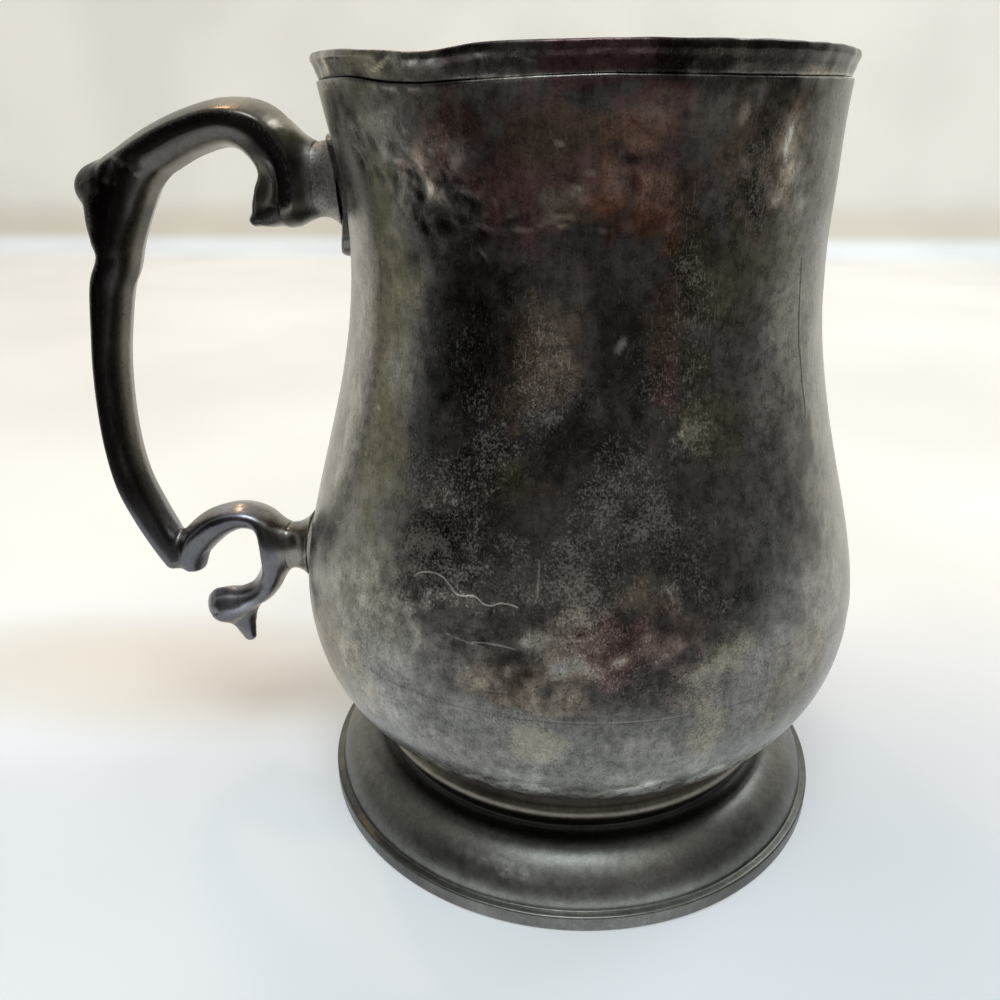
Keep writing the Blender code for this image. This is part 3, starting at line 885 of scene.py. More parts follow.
def upper_tongue():
    """Square shouldered above, and drawn to a round tip below."""
    half_tall = upper_strut_tall / 2 + strut_flare
    shoulder = upper_strut_wide / 2 + strut_flare + 0.4
    top = upper_strut_height + half_tall - 0.3
    tip = upper_strut_height - half_tall - 4.9
    rows = []
    for share in np.sin(np.linspace(-math.pi / 2, math.pi / 2, 60)) * 0.5 + 0.5:
        height = tip + (top - tip) * share
        taper = shoulder * (0.5 + 0.5 * min(1.0, share / 0.62))
        below = max(0.0, 1 - (height - tip) / (shoulder / 2))
        above = max(0.0, 1 - (top - height) / (shoulder / 2.2))
        rounding = math.sqrt(max(0.0, 1 - below**2)) * max(0.0, 1 - above**3) ** (1 / 3)
        lift = 0.7 * float(smoothstep(-height, -upper_strut_height + half_tall - 2, -tip))
        rows.append((height, max(taper * rounding, 0.05), lift))
    return pad("pewter_upper_tongue", rows, pad_thickness, 0.42)


def lower_pad():
    half_tall = lower_strut_tall / 2 + strut_flare + 1.2
    half_wide = lower_strut_wide / 2 + strut_flare + 0.4
    rows = []
    for share in np.sin(np.linspace(-math.pi / 2, math.pi / 2, 48)):
        wide = half_wide * math.sqrt(max(0.0, 1 - share**2))
        rows.append((lower_strut_height - 0.5 + half_tall * share, max(wide, 0.05), 0.1))
    return pad("pewter_lower_pad", rows, pad_thickness, 0.6)


# Materials


class Wiring:
    """A material's node tree, built by calls that each give back an output socket."""

    def __init__(self, name):
        self.material = bpy.data.materials.new(name)
        self.material.use_nodes = True
        self.tree = self.material.node_tree
        self.shader = self.tree.nodes["Principled BSDF"]
        self.places = self.node("ShaderNodeTexCoord").outputs["Object"]

    def node(self, kind, inputs=None, **settings):
        made = self.tree.nodes.new(kind)
        for key, value in settings.items():
            setattr(made, key, value)
        for key, value in (inputs or {}).items():
            self.feed(made.inputs[key], value)
        return made

    def feed(self, socket, value):
        if isinstance(value, bpy.types.NodeSocket):
            self.tree.links.new(value, socket)
        else:
            socket.default_value = value

    def sum(self, operation, *values, clamp=False):
        """Arithmetic on numbers and sockets."""
        inputs = dict(enumerate(values))
        return self.node("ShaderNodeMath", inputs, operation=operation, use_clamp=clamp).outputs[0]

    def ramp(self, value, low, high, to_low=0.0, to_high=1.0):
        """A smooth step of a value between two limits."""
        inputs = {
            "Value": value, "From Min": low, "From Max": high, "To Min": to_low, "To Max": to_high,
        }
        made = self.node("ShaderNodeMapRange", inputs, interpolation_type="SMOOTHSTEP", clamp=True)
        return made.outputs["Result"]

    def noise(self, size, detail=3.0, rough=0.55, stretch=(1, 1, 1), turn=(0, 0, 0), shift=0.0):
        """Noise whose lumps are about this many millimetres wide."""
        places = self.node(
            "ShaderNodeMapping",
            {
                "Vector": self.places,
                "Location": (shift, shift, shift),
                "Rotation": tuple(math.radians(angle) for angle in turn),
                "Scale": tuple(1 / (size * millimetre) / side for side in stretch),
            },
            vector_type="POINT",
        ).outputs[0]
        inputs = {"Vector": places, "Scale": 1.0, "Detail": detail, "Roughness": rough}
        return self.node("ShaderNodeTexNoise", inputs).outputs[0]

    def scaled(self, colour, factor):
        inputs = {0: colour, "Scale": factor}
        return self.node("ShaderNodeVectorMath", inputs, operation="SCALE").outputs[0]

    def shade(self, **settings):
        """Feeds the shader's sockets, which are named here with a low line for each space."""
        for key, value in settings.items():
            self.feed(self.shader.inputs[key.replace("_", " ")], value)

    def separate(self, vector, axis):
        return self.node("ShaderNodeSeparateXYZ", {0: vector}).outputs[axis]

    def attribute(self, name, output):
        return self.node("ShaderNodeAttribute", attribute_name=name).outputs[output]

    def mix(self, share, first, second, blend="MIX"):
        made = self.node("ShaderNodeMix", data_type="RGBA", blend_type=blend)
        self.feed(made.inputs[0], share)
        self.feed(made.inputs[6], first)
        self.feed(made.inputs[7], second)
        return made.outputs[2]


# Scratches and cracks on the wall. Each runs along places of (azimuth, height); the steep ones
# run along places of (height, azimuth). Then come half width in mm and how far it lightens.
flat_lines = [
    ([(-29.5, 59.2), (-26.8, 60.4), (-24.6, 60.5), (-22.0, 59.5), (-19.8, 58.4), (-17.3, 58.7),
      (-14.5, 57.8), (-11.8, 58.4), (-9.1, 58.1)], 0.16, 1.0),
    ([(-21.7, 52.7), (-17.8, 52.2), (-14.6, 52.0)], 0.13, 0.45),
    ([(-16.8, 52.3), (-13.0, 52.6), (-9.0, 52.3)], 0.16, 0.6),
    ([(-25.5, 62.0), (-23.5, 61.6), (-21.5, 61.7)], 0.13, 0.5),
    ([(-14.3, 45.6), (-10.3, 45.9)], 0.12, 0.4),
    ([(-13.5, 43.1), (-4.0, 42.3), (8.0, 42.2), (20.0, 42.4)], 0.16, 0.3),
    ([(-56.8, 60.2), (-53.0, 61.6), (-49.6, 64.4)], 0.14, 0.5),
]
steep_lines = [
    ([(78.6, 53.4), (79.7, 54.9), (83.0, 54.4), (86.8, 54.0), (89.8, 53.3), (96.0, 53.2),
      (101.0, 52.6)], 0.3, -0.95),
    ([(79.7, 63.0), (83.0, 62.6), (88.0, 62.6)], 0.2, -0.7),
    ([(80.0, 55.6), (86.8, 54.7), (96.0, 53.9)], 0.16, 0.7),
    ([(67.5, -17.6), (70.0, -18.2), (72.0, -18.3)], 0.14, 0.3),
    ([(60.0, -5.9), (64.5, -5.8)], 0.18, 0.3),
]


def line_share(w, along, across, places, half_wide, scale):
    """1 on a line and 0 off it: the line is a curve of one place on the wall against the other."""
    first, last = places[0][0], places[-1][0]
    low = min(place[1] for place in places) - 1.0
    high = max(place[1] for place in places) + 1.0
    curve = w.node("ShaderNodeFloatCurve")
    points = curve.mapping.curves[0].points
    while len(points) < len(places):
        points.new(0.5, 0.5)
    for point, (here, value) in zip(points, places):
        point.location = ((here - first) / (last - first), (value - low) / (high - low))
    curve.mapping.update()
    share = w.sum("DIVIDE", w.sum("SUBTRACT", along, first), last - first)
    w.feed(curve.inputs["Value"], share)
    value = w.sum("MULTIPLY_ADD", curve.outputs[0], high - low, low)
    gap = w.sum("MULTIPLY", w.sum("ABSOLUTE", w.sum("SUBTRACT", across, value)), scale)
    on_line = w.ramp(gap, half_wide * 0.4, half_wide, 1.0, 0.0)
    inside = w.sum("MULTIPLY", w.sum("GREATER_THAN", share, 0.0), w.sum("LESS_THAN", share, 1.0))
    return w.sum("MULTIPLY", on_line, inside)


def wall_lines(w):
    """All the pale scratches together, and all the dark cracks."""
    out = w.sum("SUBTRACT", w.separate(w.places, "X"), axis_x * millimetre)
    ahead = w.sum("MULTIPLY", w.separate(w.places, "Y"), -1.0)
    azimuth = w.sum("MULTIPLY", w.sum("ARCTAN2", out, ahead), 180 / math.pi)
    height = w.sum("DIVIDE", w.separate(w.places, "Z"), millimetre)
    pale, dark = 0.0, 0.0
    for places, half_wide, strength in flat_lines:
        share = line_share(w, azimuth, height, places, half_wide, 1.0)
        pale = w.sum("MAXIMUM", w.sum("MULTIPLY", share, strength), pale)
    for places, half_wide, strength in steep_lines:
        share = line_share(w, height, azimuth, places, half_wide, math.radians(mean_radius))
        share = w.sum("MULTIPLY", share, abs(strength))
        if strength > 0:
            pale = w.sum("MAXIMUM", share, pale)
        else:
            dark = w.sum("MAXIMUM", share, dark)
    return pale, dark


def hairs(w, size, thin, long_share, shift):
    """Fine curved hairs: the lines where a noise passes its middle value, broken into bits."""
    winding = w.noise(size, 2, 0.5, shift=shift)
    off = w.sum("ABSOLUTE", w.sum("SUBTRACT", winding, 0.5))
    line = w.ramp(off, 0.3 * thin, thin, 1.0, 0.0)
    bits = w.noise(0.8 * size, 2, 0.5, shift=shift + 5.5)
    kept = w.ramp(bits, 0.5 - long_share, 0.62 - long_share)
    return w.sum("MULTIPLY", line, kept)


def pewter(name, roughness, mottle, pit_rough, scratches=False):
    """Dull oxidised pewter: mottled tone, pale specks and hairs, dark worm pits, fine scratches."""
    w = Wiring(name)
    base = w.attribute("tone", "Color")
    pit_amount = w.attribute("pit", "Fac")
    speck_amount = w.attribute("fleck", "Fac")
    large = w.noise(6.0, 3)
    middle = w.noise(1.5, 5, 0.65)
    grain = w.noise(0.35, 4, 0.7)
    streak = w.noise(0.5, 2, 0.5, stretch=(1, 1, 7))
    shade = w.sum("MULTIPLY", large, 0.45)
    shade = w.sum("MULTIPLY_ADD", middle, 0.65, shade)
    shade = w.sum("MULTIPLY_ADD", grain, 0.65, shade)
    shade = w.sum("MULTIPLY_ADD", streak, 0.25, shade)
    shade = w.ramp(shade, 0.74, 1.28, 1 - 0.42 * mottle, 1 + 0.58 * mottle)
    worms = hairs(w, 0.62, 0.05, 0.05, 7.7)
    holes = w.noise(0.38, 3, 0.6, stretch=(1.6, 1, 1), shift=2.2)
    worms = w.sum("MAXIMUM", worms, w.ramp(holes, 0.60, 0.66))
    worms = w.sum("MULTIPLY", worms, w.ramp(pit_amount, 0.0, 1.0, 0.08 * mottle, 0.75))
    shade = w.sum("MULTIPLY", shade, w.sum("MULTIPLY_ADD", worms, -0.75, 1.0))
    ticks = w.ramp(w.noise(0.3, 2, 0.5, stretch=(1, 1, 4), shift=1.3), 0.66, 0.71)
    shade = w.sum("MULTIPLY", shade, w.sum("MULTIPLY_ADD", ticks, -0.25 * mottle, 1.0))
    colour = w.scaled(base, shade)
    specks = w.noise(0.4, 4, 0.7, shift=3.1)
    specks = w.sum("MULTIPLY_ADD", speck_amount, 0.11, specks)
    specks = w.sum("MULTIPLY", w.ramp(specks, 0.62, 0.76), 0.55)
    fibres = w.sum("MAXIMUM", hairs(w, 1.7, 0.015, -0.03, 0.4), hairs(w, 0.8, 0.022, -0.05, 9.1))
    for turn, shift in (((0, 38, 0), 0.0), ((0, -52, 20), 4.2), ((0, 85, 0), 6.3)):
        dashes = w.noise(0.24, 2, 0.5, stretch=(1, 1, 7), turn=turn, shift=shift)
        fibres = w.sum("MAXIMUM", fibres, w.ramp(dashes, 0.65, 0.70))
    amount = w.ramp(speck_amount, -0.5, 1.2, 0.08 * mottle, 0.55)
    pale = w.sum("MAXIMUM", specks, w.sum("MULTIPLY", fibres, amount))
    if scratches:
        lines, cracks = wall_lines(w)
        pale = w.sum("MAXIMUM", pale, lines)
        colour = w.mix(cracks, colour, (0.01, 0.01, 0.01, 1))
    paler = {0: colour, 1: (0.235, 0.228, 0.195)}
    worn = w.node("ShaderNodeVectorMath", paler, operation="ADD").outputs[0]
    rough = w.sum("MULTIPLY_ADD", middle, 0.2 * mottle, roughness - 0.1 * mottle)
    rough = w.sum("MULTIPLY_ADD", w.ramp(pit_amount, 0.0, 1.0), pit_rough, rough)
    rough = w.sum("MULTIPLY_ADD", pale, 0.25, rough, clamp=True)
    height = w.sum("MULTIPLY", middle, 0.03 * mottle)
    height = w.sum("MULTIPLY_ADD", grain, 0.012, height)
    height = w.sum("MULTIPLY_ADD", worms, -0.02, height)
    bump = w.node("ShaderNodeBump", {"Height": height, "Distance": millimetre, "Strength": 0.8})
    w.shade(
        Base_Color=w.mix(pale, colour, worn),
        Metallic=w.sum("MULTIPLY_ADD", pale, -0.45, 1.0),
        Roughness=rough,
        Normal=bump.outputs[0],
    )
    return w.material


# Pieces on the frame


def dress(piece, material, node):
    piece.data.materials.clear()
    piece.data.materials.append(material)
    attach(piece, "root")
    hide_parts(node)


def mesh_points(piece):
    """A piece's points in mm."""
    points = np.empty(len(piece.data.vertices) * 3, np.float32)
    piece.data.vertices.foreach_get("co", points)
    return points.reshape(-1, 3).astype(float) / millimetre


def keep_paint(piece, tone, fleck, pit):
    """Stores each point's tone, how thick its pale specks lie, and how pitted it is."""
    colour = np.ones((len(tone), 4), np.float32)
    colour[:, :3] = tone
    layer = piece.data.attributes.new("tone", "FLOAT_COLOR", "POINT")
    layer.data.foreach_set("color", colour.ravel())
    for name, values in (("fleck", fleck), ("pit", pit)):
        layer = piece.data.attributes.new(name, "FLOAT", "POINT")
        layer.data.foreach_set("value", np.asarray(values, np.float32))


def blend(tone, share, other):
    """Moves tones towards another colour by a share at each point."""
    share = np.asarray(share)[:, None]
    return tone * (1 - share) + np.array(other) * share


# The clean wall's tone, and hues that multiply it
wall_tone = (0.173, 0.165, 0.150)
grey = (1.0, 1.0, 1.0)
olive = (1.03, 1.0, 0.78)
brown = (1.18, 0.95, 0.82)
red = (1.40, 0.87, 0.92)
rust = (1.80, 0.95, 0.68)
blue = (0.93, 0.98, 1.07)
pink = (1.12, 0.99, 0.92)
yellow = (1.07, 1.01, 0.84)
green = (0.98, 1.0, 0.97)
worn_bright = (1.03, 1.0, 0.94)

# Stained and tarnished places, with painted reflections and shade among them: azimuth, height, half
# width and half height in mm, tilt in degrees where there is one, how many times the tone doubles
# there, and its hue
stains_and_painted_light = [
    # Left edge: the pale strip at the far left is painted reflection, over green and olive tarnish
    (-61, 88, 5.5, 22, 0.5, green), (-58, 74, 4.0, 9, 0.5, green), (-50, 110, 7, 9, -0.75, grey),
    (-56, 108, 4, 4, -0.3, grey), (-47, 121, 8, 2.6, -1.0, grey), (-44, 92, 4.5, 30, 4, -0.1, olive),
    (-45, 98, 5.5, 12, 4, -0.4, olive), (-40, 87, 4, 5, 0.5, green), (-38, 99, 3.5, 5, 0.35, olive),
    (-43, 73, 5.5, 10, 4, -0.25, olive), (-38, 118.5, 5, 3.5, -0.15, grey),
    (-46, 51, 5, 7, 0.55, green),
    # Black zone
    (-24.5, 95, 6, 12, 3, -1.5, blue), (-31, 79, 3.5, 7, 6, -0.95, blue),
    (-19, 89, 4, 11, 6, -0.6, grey), (-19, 105, 4, 2.2, 0.0, blue), (-11, 99.5, 5, 2.5, -0.7, blue),
    (-26, 104, 3, 2, 0.7, grey), (-27, 65, 5, 3.5, -1.7, green), (-26, 70.5, 3.5, 2.5, 0.6, green),
    (-20, 66, 9, 5, -0.1, green),
    # Push marks under the lip on the left
    (-27, 114.5, 5, 3, 10, 1.2, grey), (-24, 110.5, 4.5, 3.2, 20, 0.2, grey),
    (-36, 107.5, 4, 5, -0.9, grey), (-49, 117, 5, 3, -0.45, grey), (-58, 115, 4, 4, -0.4, grey),
    (-21, 118, 4, 3, -0.4, brown), (-14, 111, 5, 3.5, 0.3, red), (-13, 119.5, 5, 3, -0.2, blue),
    (-18, 107.5, 3, 1.6, -0.3, brown),
    # Middle
    (-3, 113, 19, 10, 0.0, red), (-6, 117, 10, 4, -0.1, brown), (-3, 109.5, 4, 2.5, 0.9, brown),
    (5, 112.5, 3.2, 3.6, 0.9, rust), (12.5, 110.5, 2.6, 3.6, -20, 0.8, rust),
    (9.5, 117, 4, 3, 0.6, rust), (4, 108, 5, 1.6, -0.8, brown), (4, 121, 5, 1.4, -0.4, blue),
    (12, 120.5, 4, 1.6, 0.5, red), (22, 117.5, 3, 4, 0.6, grey), (20, 111, 3, 3, -0.5, brown),
    (-5, 91, 5, 8, 12, 0.85, brown), (-1, 93, 3, 5, 0.3, brown), (-13, 82, 4, 7, 12, 0.4, brown),
    (3, 104.5, 7, 2, -0.2, blue), (7, 91, 4.5, 9, 6, -1.1, blue), (6, 81, 7, 4, -0.6, blue),
    (17, 92, 2.5, 9, 4, 0.0, red), (17, 94, 4, 6, -0.5, brown), (23, 89, 3, 4, -0.4, olive),
    (24, 83, 4, 3.5, 0.1, olive), (30, 81, 5, 5, 0.25, olive), (28, 99, 3, 3, 0.6, olive),
    (33, 103, 9, 9, -0.85, olive), (34, 89, 4, 3, -0.4, green), (9, 74, 4.5, 4, 0.15, grey),
    (12, 70, 3, 2.5, -0.5, grey), (-8, 76, 6, 4, -0.4, brown), (-14, 75, 5, 4, 0.15, olive),
    # Right
    (40, 114, 4, 5.5, 8, 0.8, grey), (46, 109, 4, 4, 0.9, grey), (35.5, 115.5, 2.8, 8, -1.5, brown),
    (43, 121, 7, 1.6, -1.0, brown), (43, 116.0, 2.6, 3.4, 0.6, yellow), (47, 94, 5, 6, 0.5, grey),
    (40, 82, 4, 4, 0.5, grey), (45, 74, 9, 7, -0.7, green), (34, 66, 5, 6, 0.2, green),
    (42, 62, 9, 6, -0.9, green), (38, 55, 9, 4.5, -0.6, green), (52, 68, 5, 9, -0.7, grey),
    (31, 69, 5, 7, 0.3, green),
    # Middle belt
    (-14, 60, 17, 4, 0.7, grey), (12, 60.5, 5, 3, 0.9, brown), (17, 62, 4, 3, -0.6, grey),
    (-38, 57, 5, 6, 0.5, green), (-25, 57, 4, 4, -0.6, green), (-19, 53, 7, 6, 1.3, grey),
    (-8, 50.3, 4, 2.2, -1.2, grey), (-1, 53.5, 6.0, 5.0, 1.6, pink), (-8, 54, 4, 3, 0.7, grey),
    (-1, 48.5, 5.0, 3.5, 1.2, pink), (8, 53, 6, 5, 0.0, red), (18, 53, 6, 4.5, 1.6, red),
    (27, 50, 5, 4, 0.7, yellow), (-34, 49, 6, 7, 0.7, green), (-10, 46.5, 6, 3, 0.45, brown),
    (-1, 44.8, 5, 2.2, 0.8, brown), (22, 45.5, 4, 2.5, 0.4, pink),
    # Lower belly: green tarnish, lightened low down as painted reflection of the lit foot and floor
    (-38, 37, 8, 6, 0.5, grey), (-10, 39.5, 24, 3.5, -0.35, green), (-5, 37, 3.5, 3.5, 0.15, yellow),
    (24, 38, 3, 5, 0.0, yellow), (6, 34.5, 7, 3, -0.4, green), (18, 31, 12, 3, 0.3, green),
    (1, 25.6, 20, 2.0, 1.5, green), (-18, 26, 9, 2.4, 1.1, green), (29, 25.8, 13, 2.6, 1.7, green),
    (-40, 27, 8, 4, -0.6, green), (-10, 28.5, 6, 2.5, 0.5, green), (46, 37, 9, 6, -0.35, green),
    # Hues laid over the rest; the two low on the belly add more painted reflection there
    (4.5, 109.8, 3, 1.8, 0.0, rust), (12, 107, 3.5, 4, 0.0, rust), (33, 113, 7, 9, -0.1, brown),
    (-25, 108, 4, 4, -0.2, grey), (-12, 91, 2.5, 6, -0.8, brown), (-22, 84, 4, 10, 0.0, blue),
    (-20, 76, 3.5, 3.5, -0.8, blue), (0, 79, 8, 5, -0.7, blue), (46, 40, 9, 9, 0.0, yellow),
    (-48, 37, 9, 9, 0.0, yellow), (5, 26, 4, 2.6, 0.7, green), (20, 27, 5, 3, 1.4, green),
    # Lip band: tarnish lightened at its left end and darkened in the middle and at the right as painted
    # reflection and shade, with a painted highlight along the seam at the right
    (-57, 125, 4, 2.4, 0.9, grey), (-44, 125, 7, 2.4, -0.5, olive), (-32, 125, 3, 2.4, 0.1, grey),
    (-25, 125, 4, 2.4, -0.9, grey), (0, 125, 14, 2.6, -1.1, red), (-14, 124.8, 5, 3.0, 0.5, blue),
    (30, 125.2, 12, 3.0, -2.2, brown), (47, 125.2, 10, 3.0, -1.5, green),
    (40, 123.8, 12, 0.8, 1.1, pink),
]

# Thin marks, partly wear and partly painted light: highlights painted where dents and folds catch
# light, and darker marks, among them painted shade in the folds' creases. Each has azimuth, height,
# half length and half width in mm, any tilt, doublings
lit_and_worn_strokes = [
    (-4.4, 107.7, 2.0, 0.28, 8, 1.7), (-4.2, 106.6, 1.1, 0.26, 12, 1.6), (-19.2, 106.0, 1.6, 0.28, 1.4),
    (-11.9, 106.1, 2.4, 0.24, 3, 1.3), (-4.3, 116.2, 0.8, 0.26, 24, 1.9),
    (-1.7, 110.9, 0.7, 0.24, 18, 1.7), (0.6, 112.7, 1.4, 0.22, 10, 1.2),
    (-13.8, 107.9, 1.2, 0.3, 30, 1.2), (-16.4, 109.2, 0.4, 0.4, 1.6), (1.8, 106.3, 1.4, 0.22, -4, 1.0),
    (5.5, 106.4, 1.6, 0.22, 10, 0.9), (-8.2, 106.6, 0.9, 0.22, 12, 1.0),
    (-9.6, 124.7, 0.9, 0.24, -10, 1.2), (-17.8, 125.3, 0.7, 0.3, 1.6),
    (-37.6, 125.0, 1.5, 0.3, 25, 1.6), (-30.6, 124.9, 1.1, 0.28, 25, 1.5),
    (-27.0, 124.9, 0.9, 0.26, 30, 1.2), (-40.0, 124.3, 1.4, 0.2, 15, 1.0),
    (-37.2, 122.0, 1.6, 0.24, -10, 1.4), (-31.5, 121.9, 1.2, 0.22, 1.2), (-13.9, 101.1, 0.5, 0.24, 1.4),
    (-38.0, 114.0, 2.8, 0.9, -15, 0.9), (-33.5, 111.4, 4.6, 0.9, -32, 0.8),
    (-29.5, 110.3, 3.4, 0.7, -42, 1.0), (-26.3, 109.4, 2.6, 0.6, -45, 1.0),
    (-38.6, 109.2, 1.4, 2.6, 10, 0.5), (-24.0, 112.7, 1.4, 0.6, -30, 0.7),
    (-21.6, 107.4, 1.9, 0.5, -40, 0.8), (-36.0, 112.5, 3.0, 0.4, -22, -1.3),
    (-31.2, 112.7, 2.0, 0.35, 25, -0.9), (-35.6, 107.9, 0.5, 1.7, 18, -1.4),
    (-33.7, 107.3, 0.4, 1.3, 15, -1.0), (-30.4, 108.4, 1.7, 0.35, -50, -0.9),
    (-26.3, 113.4, 1.1, 0.5, -40, -1.3), (-24.8, 111.6, 0.8, 0.4, -0.9),
    (-34.8, 106.9, 0.35, 1.2, 20, 0.9), (-28.2, 115.3, 1.5, 0.4, 0.8),
    (-22.8, 109.6, 1.8, 0.35, -38, -0.7), (-35.2, 117.4, 0.9, 0.3, -30, 0.8),
    (-19.6, 108.2, 1.7, 0.3, -30, 0.8), (-17.4, 107.6, 1.4, 0.3, -24, 0.7),
    (-23.4, 106.4, 2.2, 0.3, -12, 0.7), (7.9, 92.2, 1.35, 0.55, 62, 2.9), (17.4, 90.2, 0.35, 0.3, 1.4),
    (20.7, 81.7, 0.7, 0.3, 60, 2.0), (19.9, 80.7, 0.5, 0.35, 30, 2.1), (18.2, 79.8, 0.7, 0.3, 5, 1.8),
    (7.6, 80.2, 0.6, 0.25, 1.2), (41.4, 71.6, 0.3, 0.3, 1.6), (44.0, 67.3, 0.9, 0.22, 20, 0.9),
    (-19.3, 73.3, 0.7, 0.4, 10, 1.6), (-23.0, 71.2, 2.2, 0.8, -8, 0.8),
    (-26.8, 77.5, 0.7, 0.24, 15, 1.0), (-17.8, 68.0, 0.2, 2.4, -4, 0.8), (-46.6, 79.9, 0.3, 0.3, 1.6),
    (-49.1, 72.8, 0.35, 0.3, 1.4), (-40.9, 85.7, 0.4, 0.25, 1.5), (-5.8, 62.0, 0.2, 2.6, 0.9),
    (-12.2, 66.5, 1.2, 0.9, 0.6), (9.2, 111.6, 0.9, 1.4, 20, -1.3), (8.4, 114.3, 1.0, 0.6, -2.0),
    (8.0, 118.2, 0.5, 0.35, -1.4), (6.5, 115.8, 0.4, 0.6, -1.2), (10.8, 117.4, 0.5, 0.3, -1.0),
    (4.0, 109.5, 1.0, 0.5, -0.9), (28.9, 119.2, 1.5, 0.7, 70, 1.6), (37.0, 112.3, 1.4, 1.0, 1.2),
    (34.5, 111.6, 1.6, 0.3, -10, 1.0), (41.4, 116.0, 2.0, 0.45, 82, 1.6),
    (41.0, 112.6, 1.6, 0.4, 75, 1.2), (39.5, 108.6, 1.6, 0.7, 30, 1.0),
    (44.5, 112.8, 1.4, 0.2, 62, -1.2), (33.0, 122.4, 1.3, 0.16, -40, 1.0),
    (30.0, 109.0, 1.4, 0.22, -30, 0.7), (-13.2, 52.6, 1.0, 0.2, 0.6), (1.6, 55.4, 1.0, 0.8, -1.6),
    (3.4, 52.0, 0.9, 0.5, 30, -1.2), (39.4, 36.0, 0.3, 0.5, -1.2), (34.0, 36.2, 0.5, 0.4, 45, -1.0),
    (-47.0, 39.5, 0.3, 0.4, 1.2),
]

# Where pale specks lie thick, and where dark pits do: azimuth, height, half sizes, amount
speckled = [
    (-38, 48, 6, 12, 1.1), (-30, 60, 8, 6, 0.7), (-10, 61, 16, 6, 0.8), (10, 63, 12, 8, 0.9),
    (-6, 91, 6, 8, 0.9), (-13, 82, 5, 7, 0.7), (30, 49, 8, 3, 1.4), (24, 46, 3, 4, 1.4),
    (-5, 36, 4, 4, 1.9), (-8, 41.5, 6, 2, 1.6), (24, 37, 3, 5, 1.6), (-12, 30, 4, 2, 1.3),
    (3, 35, 8, 4, 0.8), (40, 113, 5, 6, 0.8), (25, 108, 9, 6, 0.7), (18, 92, 8, 8, 0.8),
    (10, 76, 8, 6, 1.1), (-24, 72, 9, 10, 1.1), (34, 70, 12, 10, 0.4), (-30, 113, 8, 4, 0.5),
    (12, 52, 14, 6, 0.8), (-30, 33, 16, 3, 0.5), (10, 29, 16, 2.4, 0.8), (-45, 98, 5, 16, -0.5),
    (-62, 88, 7, 24, -1.5), (60, 80, 6, 30, -1.5), (-28, 88, 7, 12, 0.4), (26, 84, 8, 8, 0.35),
]
pitted = [
    (0, 53, 6, 6, 1.0), (12, 52, 10, 5, 0.9), (-6, 91, 6, 8, 0.7), (-4, 46, 10, 3, 0.9),
    (22, 47, 9, 5, 0.7), (-12, 56, 10, 4, 0.6), (8, 113, 5, 5, 0.6), (-36, 50, 6, 10, 0.4),
    (8, 76, 8, 6, 0.5), (-13, 80, 6, 9, 0.5), (20, 108, 9, 8, 0.4), (20, 90, 7, 8, 0.4),
]


def on_wall(points):
    """Each point's azimuth and height."""
    return np.degrees(np.arctan2(points[:, 0] - axis_x, -points[:, 1])), points[:, 2]


def paint_wall(piece):
    """Stained patches, worn marks and pits on the walls and the band, with painted reflections,
    highlights and shade, and a calm patina at the back.
    """
    azimuth, height = on_wall(mesh_points(piece))
    front = 1 - smoothstep(np.abs(azimuth), 58, 75)
    warp = 0.36 * soft_noise(azimuth, height, 32, 5.0)
    warp = warp + 0.24 * soft_noise(azimuth, height, 33, 1.9, waves=40)
    stops = (0.30 - 0.16 * front) * soft_noise(azimuth, height, 31, 13.0)
    stops = stops + 0.16 * soft_noise(azimuth, height, 34, 2.6, waves=40)
    hue = np.ones((len(height), 3))
    for *place, doublings, tint in stains_and_painted_light:
        share = oval(azimuth, height, place, warp)
        stops = stops + doublings * share
        hue = blend(hue, 0.85 * share, tint)
    for *place, doublings in lit_and_worn_strokes:
        stops = stops + doublings * oval(azimuth, height, place, 0.25 * warp)
    # Painted highlight along the wall's shoulder under the band, and painted shade in the crack where
    # the band was pushed in
    shoulder = hump(height, along_wave(seam_wave, azimuth), 0.33)
    pushed = 1 - smoothstep(azimuth, -26, -17)
    stops = stops + shoulder * (1.9 - 3.0 * pushed)
    hue = blend(hue, shoulder, grey)
    # The sides and the back are duller, with olive clouds
    clouds = 0.5 + 0.5 * np.tanh(2 * soft_noise(azimuth, height, 35, 16.0))
    hue = blend(hue, 0.7 * (1 - front) * clouds, olive)
    stops = stops - 0.35 * (1 - front)
    # Painted highlights on the tops of the torn folds and painted shade in their creases, over a slight
    # overall lightening
    zone, folds = torn_folds(azimuth, height)
    fold_light_and_shade = 0.15 + 0.6 * smoothstep(folds, 0.15, 0.5) - 1.5 * smoothstep(-folds, 0.2, 0.45)
    stops = stops + zone * fold_light_and_shade
    # Red tarnish is worn off where the metal is bright
    bright_red = smoothstep(stops, 0.1, 1.1) * smoothstep(hue[:, 0], 1.06, 1.14)
    hue = blend(hue, 0.6 * bright_red, worn_bright)
    fleck = 0.35 * soft_noise(azimuth, height, 36, 7.0) - 0.1
    for *place, amount in speckled:
        fleck = fleck + amount * oval(azimuth, height, place, warp)
    pit = 0 * height
    for *place, amount in pitted:
        pit = pit + amount * oval(azimuth, height, place, warp)
    tone = np.array(wall_tone) * hue * (2.0 ** np.clip(stops, -3, 2.5))[:, None]
    keep_paint(piece, np.clip(tone, 0.004, 0.9), fleck, pit)


